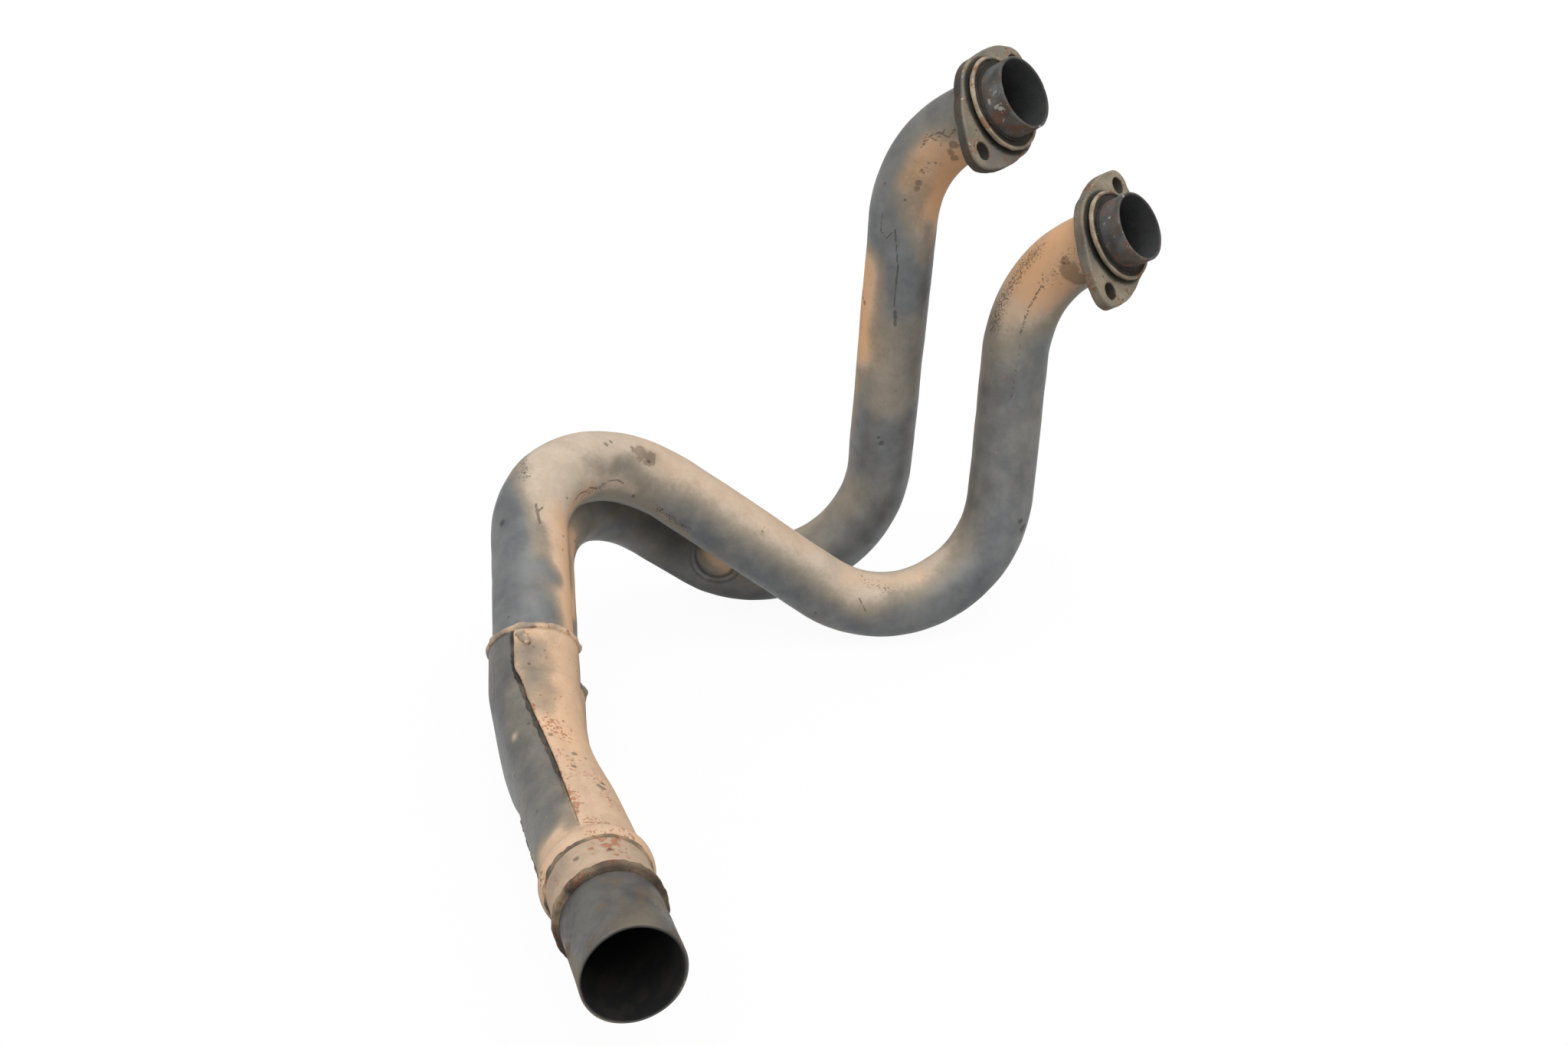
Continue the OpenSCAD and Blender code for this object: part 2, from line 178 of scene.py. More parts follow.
def pixels(points):
    """Pixel places of points: focal length times sideways over forward distance, from the image's middle."""
    away = points - CAMERA_PLACE
    depth = -(away @ CAMERA_BACK)
    return np.stack([IMAGE_SIZE[0] / 2 + FOCAL_PIXELS * (away @ CAMERA_RIGHT) / depth,
                     IMAGE_SIZE[1] / 2 - FOCAL_PIXELS * (away @ CAMERA_UP) / depth], -1)


class Skin:
    """Flat lists of a piece's points and outward normals on the bench, for placing marks on it."""

    def __init__(self, points, normals):
        self.points = points.reshape(-1, 3)
        self.normals = normals.reshape(-1, 3)
        self.facing = ((CAMERA_PLACE - self.points) * self.normals).sum(-1) > 0
        self.pixels = pixels(self.points)
        self.depth = (CAMERA_PLACE - self.points) @ CAMERA_BACK

    def under(self, pixel):
        """The point that the camera sees nearest to a pixel: of the points near it that face the camera,
        those on the nearest surface count, and not a wall behind it."""
        off = np.linalg.norm(self.pixels - np.array(pixel, float), axis=1) + np.where(self.facing, 0, NEVER)
        close = np.flatnonzero(off < off.min() + PIXELS_NEAR)
        first = close[self.depth[close] < self.depth[close].min() + WALL_NEAR]
        return self.points[first[np.argmin(off[first])]]

    def line_gap(self, corners):
        """Distance of every point from the broken line through the points under the corners' pixels."""
        ends = [self.under(corner) for corner in corners]
        best = np.full(len(self.points), np.inf)
        for a, b in zip(ends, ends[1:] or ends):
            way = b - a
            t = held(((self.points - a) @ way) / max(way @ way, 1e-6))
            best = np.minimum(best, np.linalg.norm(self.points - a - t[:, None] * way, axis=1))
        return best

    def patch(self, pixel, radius):
        """A soft round patch: e to the minus squared distance over squared radius."""
        gap = np.linalg.norm(self.points - self.under(pixel), axis=1)
        return np.exp(-(gap / radius) ** 2)

    def patches(self, places):
        """Sum of soft patches, each given as x, y in pixels, radius in millimetres and strength."""
        total = np.zeros(len(self.points))
        for x, y, radius, strength in places:
            total += strength * self.patch((x, y), radius)
        return total

    def painted(self, values, strokes):
        """Values brought toward a level along soft strokes: level, radius in millimetres, then pixels.

        The share is 1 on the stroke and falls by 3 x squared minus 2 x cubed to 0 at twice the radius.
        """
        for level, radius, *corners in strokes:
            values = values + (level - values) * smooth(1 - self.line_gap(corners) / (2 * radius))
        return values

    def dots(self, places):
        """Crisp marks: 1 at each centre, falling through a half at its radius."""
        best = np.zeros(len(self.points))
        for x, y, radius in places:
            gap = np.linalg.norm(self.points - self.under((x, y)), axis=1)
            best = np.maximum(best, 1 - 0.5 * gap / radius)
        return held(best)

    def lines(self, strokes):
        """Crisp strokes along pixels: 1 on the line, falling through a half at its half width."""
        best = np.zeros(len(self.points))
        for half_width, *corners in strokes:
            best = np.maximum(best, 1 - 0.5 * self.line_gap(corners) / half_width)
        return held(best)


# ---- meshes ----

def grid_quads(rows, columns, close_rows, close_columns):
    """Quads of a grid of points numbered row by row, joined round in either direction."""
    i = np.arange(rows if close_rows else rows - 1)[:, None]
    j = np.arange(columns if close_columns else columns - 1)[None, :]
    k, m = (i + 1) % rows, (j + 1) % columns
    return np.stack([i * columns + j, i * columns + m, k * columns + m, k * columns + j], -1).reshape(-1, 4)


def outward(points, quads):
    """Quads turned so that the closed mesh has a positive volume: the sum of a . (b x c) / 6."""
    a, b, c, d = (points[quads[:, n]] for n in range(4))
    volume = (np.cross(a, b) * c).sum() + (np.cross(a, c) * d).sum()
    return quads if volume > 0 else quads[:, ::-1]


def new_object(name, points, faces, material):
    """An object with one mesh of points in bench millimetres, linked to the scene."""
    mesh = bpy.data.meshes.new(name)
    mesh.from_pydata((points * MILLIMETRE).tolist(), [], faces)
    mesh.materials.append(material)
    made = bpy.data.objects.new(name, mesh)
    bpy.context.scene.collection.objects.link(made)
    return made


def finish_piece(piece, body, node, marks, sharp_degrees):
    """Smooth faces, the marks as point attributes, and the body of the piece, with the CAD node that it stands for
    hidden.
    """
    mesh = piece.data
    mesh.polygons.foreach_set("use_smooth", np.ones(len(mesh.polygons), bool))
    if sharp_degrees:
        mesh.set_sharp_from_angle(angle=np.radians(sharp_degrees))
    for mark, values in marks.items():
        store = mesh.attributes.new(mark, "FLOAT", "POINT")
        store.data.foreach_set("value", values.astype(np.float32).ravel())
    mesh.update()
    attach(piece, body)
    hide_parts(node)


def add_piece(name, points, faces, material, node, marks, sharp_degrees=None):
    """A piece fixed to the header that stands for one node of the solids."""
    faces = faces.tolist() if isinstance(faces, np.ndarray) else faces
    finish_piece(new_object(name, points, faces, material), "header", node, marks, sharp_degrees)


# ---- materials ----

def rgb(red, green, blue):
    """A colour given as 0..255 screen values, as the linear colour that a socket takes."""
    screen = np.array([red, green, blue]) / 255.0
    linear = np.where(screen <= 0.04045, screen / 12.92, ((screen + 0.055) / 1.055) ** 2.4)
    return (*[float(c) for c in linear], 1.0)


class Recipe:
    """Small helper that adds nodes to one material and joins them."""

    def __init__(self, name):
        self.material = bpy.data.materials.new(name)
        self.material.use_nodes = True
        self.tree = self.material.node_tree
        self.shader = self.tree.nodes["Principled BSDF"]
        self.coords = self.node("ShaderNodeTexCoord").outputs["Object"]

    def node(self, kind, **values):
        made = self.tree.nodes.new(kind)
        for key, value in values.items():
            setattr(made, key, value)
        return made

    def put(self, value, socket):
        """Join a node's output to a socket, or set the socket to a value."""
        if isinstance(value, bpy.types.NodeSocket):
            self.tree.links.new(value, socket)
        else:
            socket.default_value = value

    def noise(self, scale, detail=3.0, rough=0.55):
        made = self.node("ShaderNodeTexNoise")
        self.put(self.coords, made.inputs["Vector"])
        for socket, value in (("Scale", scale), ("Detail", detail), ("Roughness", rough)):
            made.inputs[socket].default_value = value
        return made.outputs["Fac"]

    def cells(self, scale):
        made = self.node("ShaderNodeTexVoronoi")
        self.put(self.coords, made.inputs["Vector"])
        made.inputs["Scale"].default_value = scale
        return made.outputs["Distance"]

    def mark(self, name):
        return self.node("ShaderNodeAttribute", attribute_name=name).outputs["Fac"]

    def maths(self, operation, *values):
        made = self.node("ShaderNodeMath", operation=operation)
        for value, socket in zip(values, made.inputs):
            self.put(value, socket)
        return made.outputs[0]

    def times(self, first, second):
        return self.maths("MULTIPLY", first, second)

    def plus(self, first, second):
        return self.maths("ADD", first, second)

    def minus(self, first, second):
        return self.maths("SUBTRACT", first, second)

    def times_plus(self, first, second, third):
        return self.maths("MULTIPLY_ADD", first, second, third)

    def step(self, value, low, high, out_low=0.0, out_high=1.0):
        """A soft step: out_low up to low, then 3 x squared minus 2 x cubed, and out_high from high on."""
        made = self.node("ShaderNodeMapRange", interpolation_type="SMOOTHSTEP")
        self.put(value, made.inputs["Value"])
        limits = (("From Min", low), ("From Max", high), ("To Min", out_low), ("To Max", out_high))
        for socket, number in limits:
            made.inputs[socket].default_value = number
        return made.outputs["Result"]

    def blend(self, share, first, second):
        """A colour that goes from first to second as share goes from 0 to 1."""
        made = self.node("ShaderNodeMix", data_type="RGBA")
        self.put(share, made.inputs[0])
        self.put(first, made.inputs[6])
        self.put(second, made.inputs[7])
        return made.outputs[2]

    def level(self, share, first, second):
        """A number that goes from first to second as share goes from 0 to 1."""
        made = self.node("ShaderNodeMix", data_type="FLOAT")
        self.put(share, made.inputs[0])
        self.put(first, made.inputs[2])
        self.put(second, made.inputs[3])
        return made.outputs[0]

    def bump(self, heights, distance):
        made = self.node("ShaderNodeBump")
        made.inputs["Distance"].default_value = distance
        self.put(heights, made.inputs["Height"])
        self.put(made.outputs["Normal"], self.shader.inputs["Normal"])


def aged_steel(name, steel=((100, 102, 104), (128, 130, 130)), dust=((192, 174, 154), (206, 189, 170)),
               warm=(236, 184, 137), steel_rough=0.5, metal=0.4, pits=0.0, specks=0.3, grain=0.6,
               rust=((112, 70, 48), (168, 108, 74))):
    """Dull steel under a powdery film of dust, with rust, stains, dark marks, chips, and soot and painted shade where
    the piece says.
    """
    m = Recipe(name)
    broad = m.noise(26, 4, 0.55)
    cloud = m.noise(95, 5, 0.6)
    fine = m.noise(460, 4, 0.65)
    grit = m.noise(1500, 3, 0.7)
    tone = m.times_plus(broad, 0.6, m.times(cloud, 0.4))
    bare = m.blend(m.step(tone, 0.34, 0.66), rgb(*steel[0]), rgb(*steel[1]))
    bare = m.blend(m.times(m.step(grit, 0.45, 0.75), 0.16 * grain), bare, rgb(150, 146, 138))
    bare = m.blend(m.times(m.step(m.noise(44, 3, 0.5), 0.5, 0.72), 0.2 * grain), bare, rgb(112, 106, 92))
    film = m.blend(m.step(m.times_plus(cloud, 0.7, m.times(fine, 0.3)), 0.34, 0.66),
                   rgb(*dust[0]), rgb(*dust[1]))
    film = m.blend(m.times(m.mark("warm"), 0.9), film, rgb(*warm))
    ragged = m.times_plus(cloud, 0.2,
                     m.times_plus(fine, 0.22, m.times(grit, 0.2)))
    cover = m.step(m.plus(m.mark("dust"), m.minus(ragged, 0.31)), 0.04, 0.96)
    half_bare = m.times(m.times(cover, m.minus(1.0, cover)), 1.5)
    colour = m.blend(half_bare, m.blend(cover, bare, film), rgb(132, 124, 102))
    smudge = m.times(m.step(m.noise(60, 5, 0.6), 0.55, 0.75), 0.12 * grain)
    colour = m.blend(smudge, colour, rgb(90, 84, 74))
    blotch = m.times_plus(m.noise(210, 4, 0.65), 0.7, m.times(cloud, 0.3))
    stain = m.step(m.plus(m.mark("stain"), m.times(m.minus(blotch, 0.5), 1.7)),
                   0.4, 0.62)
    colour = m.blend(m.times(stain, 0.58), colour, rgb(104, 88, 70))
    fleck = m.noise(620, 3, 0.6)
    rusty = m.step(m.plus(fleck, m.times(m.mark("rust"), 0.46)), 0.70, 0.80)
    rust_tone = m.blend(m.step(grit, 0.38, 0.62), rgb(*rust[0]), rgb(*rust[1]))
    colour = m.blend(m.times(rusty, 0.72), colour, rust_tone)
    speck_size = m.cells(230)
    speck = m.times(m.step(speck_size, 0.08, 0.17, 1.0, 0.0), m.step(m.noise(34, 3, 0.6), 0.5, 0.66))
    colour = m.blend(m.times(speck, specks), colour, rgb(104, 76, 54))
    if pits:
        pit = m.times(m.step(m.cells(340), 0.14, 0.3, 1.0, 0.0), m.step(cloud, 0.46, 0.6))
        colour = m.blend(m.times(pit, pits), colour, rgb(64, 57, 49))
    freckle = m.step(m.plus(m.noise(900, 3, 0.6), m.times(m.mark("freckle"), 0.4)), 0.70, 0.78)
    colour = m.blend(m.times(freckle, 0.7), colour, rgb(74, 68, 62))
    dark = m.step(m.plus(m.mark("mark"), m.times(m.minus(fine, 0.5), 1.1)),
                  0.4, 0.66)
    colour = m.blend(m.times(dark, 0.6), colour, rgb(58, 54, 50))
    # this near-black holds real soot inside the tubes and painted shade in creases, under the lap, beside the ridges
    # and behind the collars
    soot = m.mark("soot")
    colour = m.blend(soot, colour, m.blend(m.step(cloud, 0.4, 0.66), rgb(22, 23, 23), rgb(40, 38, 35)))
    chip = m.step(m.plus(m.noise(480, 3, 0.6), m.times(m.mark("chip"), 0.46)), 0.72, 0.80)
    colour = m.blend(m.times(chip, 0.75), colour, rgb(186, 182, 174))
    m.put(colour, m.shader.inputs["Base Color"])
    covered = m.maths("MAXIMUM", m.maths("MAXIMUM", cover, rusty), m.maths("MAXIMUM", stain, soot))
    m.put(m.level(covered, metal, 0.0), m.shader.inputs["Metallic"])
    m.put(m.level(covered, m.step(fine, 0.3, 0.7, steel_rough - 0.06, steel_rough + 0.08), 0.85),
          m.shader.inputs["Roughness"])
    m.shader.inputs["Specular IOR Level"].default_value = 0.35
    relief = m.times_plus(fine, 0.4, m.times_plus(grit, 0.25, m.times(cover, 0.25)))
    relief = m.plus(relief, m.times(rusty, 0.4))
    relief = m.minus(relief, m.times(dark, 0.4))
    if pits:
        relief = m.minus(relief, m.times(pit, 1.2))
    m.bump(relief, 0.00018)
    return m.material


header_steel = aged_steel("header_pipe_steel")
plate_iron = aged_steel("flange_plate_iron", steel=((106, 102, 94), (134, 128, 116)), steel_rough=0.62, metal=0.15,
                        dust=((136, 124, 106), (160, 147, 128)), pits=0.8, specks=0.3, grain=1.0)
collar_steel = aged_steel("port_collar_steel", steel=((112, 106, 95), (152, 144, 128)), steel_rough=0.48, metal=0.3,
                          dust=((146, 130, 108), (188, 170, 146)), pits=0.4, specks=0.5)
grey_steel = aged_steel("grey_shell_steel", steel=((94, 95, 94), (122, 121, 117)), specks=0.25)
tan_steel = aged_steel("tan_shell_steel", dust=((206, 176, 149), (218, 191, 163)), specks=0.6,
                       rust=((146, 84, 58), (186, 114, 82)))
weld_steel = aged_steel("seam_weld_steel", steel=((62, 58, 53), (96, 88, 78)), steel_rough=0.62, metal=0.2,
                        dust=((160, 136, 110), (194, 166, 136)), specks=0.6)
sleeve_steel = aged_steel("neck_sleeve_steel", dust=((186, 162, 138), (202, 176, 151)), specks=0.5,
                          rust=((144, 86, 58), (192, 122, 86)))
ring_rust = aged_steel("stop_ring_rust", steel=((76, 66, 57), (118, 98, 80)), steel_rough=0.7, metal=0.1,
                       dust=((150, 128, 104), (182, 158, 130)), pits=0.5, specks=0.8)
outlet_steel = aged_steel("outlet_tube_steel", steel=((78, 77, 76), (116, 114, 110)), steel_rough=0.5, metal=0.4,
                          dust=((124, 108, 92), (146, 130, 112)), specks=0.2)


# ---- header pipes ----

def pipe_line(side, bends, end, step=1.1):
    """Centre line of a bent pipe from its buried end to its mouth, with two side vectors carried along it.

    Each straight adds its length along the tangent. Each bend turns place, tangent and side vectors
    about the axis through the bend's centre, one bend radius to the side.
    """
    face = np.eye(3)
    carried = np.eye(3)[:2]
    place = np.array([side * INLET_SPACING / 2, 0, -PIPE_INSERT])
    centres, sides, ways = [], [], []

    def straight(length):
        nonlocal place
        t = np.linspace(0, length, max(2, int(length / step)), endpoint=False)[:, None]
        centres.append(place + t * face[2])
        sides.append(np.repeat(carried[None], len(t), 0))
        ways.append(np.repeat(face[2][None], len(t), 0))
        place = place + length * face[2]

    extra = PIPE_INSERT
    for length, twist, bend in bends:
        straight(length + extra)
        extra = 0.0
        face = turned(face, face[2], np.full(3, twist))
        axis, middle = -face[1], place - BEND_R * face[0]
        a = np.linspace(0, bend, int(np.radians(bend) * BEND_R / step), endpoint=False)
        centres.append(middle + turned(np.repeat((BEND_R * face[0])[None], len(a), 0), axis, a))
        sides.append(np.stack([turned(np.repeat(v[None], len(a), 0), axis, a) for v in carried], 1))
        ways.append(turned(np.repeat(face[2][None], len(a), 0), axis, a))
        place = middle + turned(BEND_R * face[0], axis, np.array(bend))
        carried = turned(carried, axis, np.full(2, bend))
        face = turned(face, axis, np.full(3, bend))
    straight(end)
    centres.append(place[None])
    sides.append(carried[None])
    ways.append(face[2][None])
    return (to_bench(np.concatenate(centres)), np.concatenate(sides) @ POSE.T,
            np.concatenate(ways) @ POSE.T, face @ POSE.T, to_bench(place))


def pipe_skin(line, relief, columns=140, inner_every=6, lip=0.35):
    """Points and normals of a tube: rings of the outer radius along the line, a rounded lip, the inner
    wall back again, and a flat buried end. A ring's point is centre + radius (cos a side0 + sin a side1).
    """
    centres, sides, ways = line[:3]
    arc = np.linspace(0, np.pi, 7)[1:-1]
    half = TUBE_WALL / 2
    inner = np.arange(len(centres) - 2, 0, -inner_every)
    row_centre = np.concatenate([centres[:-1], centres[-1:] - lip * ways[-1:],
                                 centres[-1] + ways[-1] * (lip * (np.sin(arc) - 1))[:, None],
                                 centres[-1:] - lip * ways[-1:], centres[inner], centres[:1]])
    pick = np.concatenate([np.arange(len(centres)), np.full(len(arc) + 1, len(centres) - 1), inner, [0]])
    row_radius = np.concatenate([np.full(len(centres), TUBE_R), TUBE_R - half + half * np.cos(arc),
                                 [TUBE_R - TUBE_WALL], np.full(len(inner) + 1, TUBE_R - TUBE_WALL)])
    inside = np.concatenate([np.zeros(len(centres)), np.linspace(0, 1, len(arc)), np.ones(len(inner) + 2)])
    a = np.linspace(0, 2 * np.pi, columns, endpoint=False)
    first, second = sides[pick][:, None, 0], sides[pick][:, None, 1]
    out = np.cos(a)[None, :, None] * first + np.sin(a)[None, :, None] * second
    base = row_centre[:, None] + row_radius[:, None, None] * out
    normals = out * np.where(inside > 0.5, -1.0, 1.0)[:, None, None]
    raised = base + out * relief(row_centre[:, None] + TUBE_R * out, out)[..., None]
    quads = grid_quads(len(row_centre), columns, True, True)
    return raised.reshape(-1, 3), normals.reshape(-1, 3), np.repeat(inside, columns), quads


lower_line = pipe_line(-1, LOWER_BENDS, LOWER_END)
upper_line = pipe_line(1, UPPER_BENDS, UPPER_END)


def dent(points, out, pixel, radius, depth):
    """A soft dent: minus depth times e to the minus (distance over radius) squared, under a pixel."""
    flat = Skin(points, out)
    return -depth * flat.patch(pixel, radius).reshape(points.shape[:-1])


def lower_relief(points, out):
    """Slight hollows along the tube, and the dented lower lip."""
    shape = 0.12 * waves(points, 46, 11) + 0.05 * waves(points, 15, 12) - 0.14
    shape += dent(points, out, (1478, 349), 5.0, 0.7)
    shape += dent(points, out, (700, 748), 12.0, 0.5)
    return np.minimum(shape, 0.0)


OVAL_MIDDLE, OVAL_END = (934, 724), (914, 706)
OVAL_HALF = (14.5, 12.0)
OVAL_DEPTH = 2.6
OVAL_GROOVE = 1.26


def oval_ratio(points, skin):
    """Distance from the pressed oval's middle as a share of its edge: the root of (along / half length)
    squared plus (across / half width) squared."""
    middle, end = skin.under(OVAL_MIDDLE), skin.under(OVAL_END)
    way = (end - middle) / np.linalg.norm(end - middle)
    gap = points - middle
    along = gap @ way
    across = np.sqrt(np.maximum((gap ** 2).sum(-1) - along ** 2, 0))
    return np.sqrt((along / OVAL_HALF[0]) ** 2 + (across / OVAL_HALF[1]) ** 2)


def upper_relief(points, out):
    """Slight hollows along the tube, and the pressed oval in the low bend with its stepped edge."""
    shape = 0.12 * waves(points, 46, 21) + 0.05 * waves(points, 15, 22) - 0.14
    ratio = oval_ratio(points, Skin(points, out))
    shape -= OVAL_DEPTH * (0.6 * smooth((1.06 - ratio) / 0.22) + 0.4 * smooth((0.72 - ratio) / 0.5))
    shape -= 0.35 * np.exp(-((ratio - OVAL_GROOVE) / 0.07) ** 2)
    return np.minimum(shape, 0.0)


# soft strokes of dust: how much dust lies there, radius in millimetres, then pixels of the photograph
LOWER_DUST = (
    (0.03, 24, (664, 812), (662, 720), (664, 660)), (1.0, 24, (735, 604), (780, 588), (822, 584)),
    (0.05, 11, (658, 700), (660, 655), (666, 632)), (0.45, 5, (662, 615), (678, 598)),
    (1.0, 13, (722, 626), (745, 600), (790, 578)), (1.0, 8, (712, 636), (718, 680)),
    (1.0, 12, (722, 640), (734, 690), (742, 760), (746, 825)), (0.5, 4, (703, 690), (706, 720)),
    (0.1, 5, (706, 740), (722, 752)), (0.12, 7, (700, 775), (712, 800)),
    (0.66, 6, (772, 604), (792, 614)), (0.42, 5.5, (808, 606), (826, 602)), (0.22, 6, (832, 612), (862, 634)),
    (0.04, 17, (905, 680), (980, 733), (1056, 780)), (0.06, 8, (880, 657), (905, 674)),
    (0.85, 3, (770, 634), (800, 630), (826, 640)), (0.5, 3.2, (800, 648), (850, 664), (898, 700)),
    (0.9, 3.5, (746, 668), (756, 650), (775, 640)),
    (1.0, 16, (862, 590), (900, 606), (950, 642), (1000, 674), (1050, 708), (1100, 742)),
    (1.0, 11, (1105, 750), (1150, 762), (1190, 754), (1226, 726)), (0.08, 7, (1080, 802), (1120, 822)),
    (0.03, 17, (1160, 832), (1215, 812), (1272, 776), (1306, 716), (1322, 660)),
    (0.12, 30, (1320, 610), (1334, 520)), (0.62, 4, (1240, 704), (1252, 668)),
    (0.4, 3, (1262, 630), (1272, 540), (1282, 480)), (0.36, 6, (1286, 456), (1302, 408)),
    (0.4, 8, (1312, 436), (1326, 396)), (0.05, 8, (1362, 452), (1346, 436)),
    (1.2, 19, (1334, 378), (1342, 356), (1358, 334), (1372, 318), (1392, 304)),
    (1.15, 10, (1400, 345), (1384, 360), (1372, 376)))
LOWER_WARM = ((1.0, 18, (1340, 352), (1385, 305)), (0.9, 8, (1392, 362), (1360, 385)), (0.35, 8, (1310, 405),),
              (0.7, 11, (738, 690), (742, 760), (746, 825)), (0.5, 4, (745, 665), (770, 640)),
              (0.3, 6, (1110, 752), (1200, 752)), (0.2, 10, (860, 590), (1050, 705)))
# the first two strokes are painted shadow lines beside the inlet ridge; the others darken the pipe in patches
LOWER_GRIME_AND_SHADE = ((0.45, 1.1, (641, 850), (652, 836), (664, 825)), (0.25, 0.8, (692, 816), (722, 823), (748, 846)),
               (0.16, 16, (1150, 850), (1230, 828), (1290, 775)), (0.3, 4, (848, 598), (853, 594)))
UPPER_DUST = (
    (0.2, 20, (1236, 125), (1190, 155), (1158, 215), (1144, 290)),
    (0.05, 28, (1165, 330), (1155, 400), (1150, 590)),
    (0.55, 4, (1212, 186), (1192, 204), (1176, 244)), (1.05, 13, (1250, 208), (1226, 250), (1214, 292)),
    (0.8, 8, (1222, 206), (1204, 240)), (0.62, 7, (1200, 250), (1192, 285)), (0.5, 5, (1212, 300), (1204, 335)),
    (0.03, 9, (1158, 300), (1170, 340), (1184, 385)), (1.15, 11, (1132, 352), (1128, 400), (1124, 458)),
    (0.6, 4.5, (1118, 490), (1112, 560)), (0.5, 12, (1165, 440), (1155, 520)), (0.36, 8, (1190, 440), (1184, 520)),
    (0.04, 8, (1125, 585), (1150, 600)), (0.42, 4, (1110, 640), (1082, 668)), (0.3, 5, (1090, 680), (1050, 705)),
    (0.16, 9, (1150, 650), (1110, 715)), (0.06, 7, (1175, 640), (1150, 690), (1120, 730)),
    (0.3, 7, (765, 676), (790, 664)), (0.95, 4, (747, 700), (750, 740), (748, 800)),
    (0.02, 5, (790, 694), (815, 688)),
    (0.2, 8, (850, 690), (880, 725)), (0.9, 5.5, (926, 722), (944, 738)), (0.1, 8, (950, 774), (1010, 780)))
UPPER_WARM = ((1.0, 12, (1250, 208), (1224, 262)), (0.8, 6, (1212, 190), (1184, 235)),
              (1.0, 10, (1130, 350), (1124, 450)), (0.5, 6, (1118, 500),), (0.7, 6, (748, 700), (748, 800)), (0.5, 5, (926, 722), (944, 738)))
# painted shade on the upper pipe's fall, where the lower pipe shades it
UPPER_PAINTED_SHADE = ((0.56, 13, (805, 672), (850, 690), (890, 708)), (0.56, 12, (850, 740), (905, 768), (980, 784)),
               (0.26, 8, (770, 690), (800, 700)))

LOWER_LINES = ((0.5, (751, 652), (757, 645), (764, 641)), (0.6, (765, 642), (770, 637), (778, 638)),
               (0.45, (786, 631), (796, 627), (806, 627), (813, 630)), (0.8, (700, 658), (702, 670), (705, 683)),
               (0.55, (703, 668), (708, 662)), (0.5, (1122, 782), (1130, 798)))
LOWER_DOTS = ((655, 683, 1.8), (1335, 690, 2.8), (1332, 680, 2.0), (1388, 344, 0.9), (740, 650, 0.9),
              (735, 700, 0.8), (735, 718, 0.8), (663, 806, 0.9), (675, 814, 0.8), (791, 580, 1.5), (797, 577, 1.1),
              (826, 647, 1.3), (865, 664, 1.0), (892, 685, 1.1), (875, 672, 0.9), (848, 602, 1.1),
              (1065, 800, 0.9), (1310, 332, 0.8), (1318, 350, 0.8), (996, 694, 0.9), (1126, 752, 0.8))
LOWER_FRECKLES = ((0.6, 5.5, (1298, 424), (1304, 404), (1311, 387), (1320, 371), (1331, 354), (1344, 338),
                   (1356, 326)),
                  (0.38, 5, (1396, 330), (1388, 345), (1374, 358), (1358, 372)),
                  (0.8, 0.7, (1360, 374), (1352, 386), (1345, 400), (1338, 416), (1332, 438)),
                  (0.5, 0.8, (1330, 450), (1326, 480), (1320, 520)),
                  (0.55, 3, (683, 602), (686, 622)), (0.4, 5, (1130, 760), (1160, 770)),
                  (0.6, 3, (860, 665), (895, 690)), (0.6, 2, (758, 650), (790, 634)))
UPPER_LINES = ((0.4, (1206, 190), (1214, 178), (1222, 182)), (0.4, (1222, 182), (1234, 168), (1228, 190)),
               (0.45, (1216, 176), (1226, 172), (1238, 178), (1246, 170)), (0.4, (1210, 176), (1204, 192)),
               (0.5, (1168, 300), (1171, 350), (1168, 400)), (0.9, (1169, 408), (1168, 424)),
               (0.4, (1152, 278), (1150, 300), (1158, 310), (1164, 304)), (0.6, (1213, 372), (1206, 390)))
UPPER_DOTS = ((1203, 222, 0.9), (1212, 214, 0.8), (1221, 213, 0.8), (1128, 396, 1.4), (1127, 388, 1.0),
              (1150, 578, 1.6), (1147, 570, 1.0), (1196, 528, 0.9), (1182, 262, 0.8), (1155, 240, 0.8),
              (751, 706, 1.0))
UPPER_FRECKLES = ((0.35, 4, (1200, 225), (1230, 215)), (0.4, 5, (1122, 380), (1122, 430)))


LOWER_RUST = ((0.3, 2.0, (1316, 490), (1318, 540)), (0.35, 3, (1000, 690),))
LOWER_STAINS = ((1396, 356, 7.0), (1410, 366, 5.5), (1390, 342, 3.0), (836, 590, 5.0), (848, 598, 4.0))
UPPER_STAINS = ((1246, 190, 2.6), (1240, 199, 2.4), (1247, 206, 2.2), (1199, 239, 1.7), (1196, 246, 1.5))
# pale chips on the bare ends: pixel, radius in millimetres and strength
CHIPS = ((1300, 138, 1.7, 0.6), (1308, 142, 1.5, 0.6), (1290, 132, 1.5, 0.5), (1312, 160, 1.6, 0.5),
         (1297, 150, 1.3, 0.5), (1445, 322, 1.3, 0.7), (1448, 284, 1.3, 0.6), (1283, 108, 1.6, 0.6),
         (1275, 118, 1.4, 0.5), (1306, 150, 1.0, 0.5))
SPIGOT_BACK = 14.5
PORT_REACH = 40.0
LIT_BORE = 40.0


def pipe_marks(skin, inside, dust, warm, freckles, grime, lines, dots, stains, rust, seed):
    """Dust lies on what looks up, in drifts, and along the strokes that the photograph shows. The dark strokes add
    dirt and painted shade.
    """
    out = inside < 0.5
    drift = 0.34 + 0.3 * skin.normals[:, 2] + 0.08 * waves(skin.points, 95, seed)
    none = np.zeros(len(out))
    return {"dust": held(skin.painted(drift, dust) + 0.035 * waves(skin.points, 42, seed + 1)) * out,
            "warm": skin.painted(none, warm), "freckle": skin.painted(none, freckles) * out,
            "soot": np.maximum(inside, skin.painted(none, grime) * out),
            "mark": np.maximum(skin.lines(lines), skin.dots(dots)) * out,
            "rust": skin.painted(none, rust) * out, "stain": skin.dots(stains) * out}


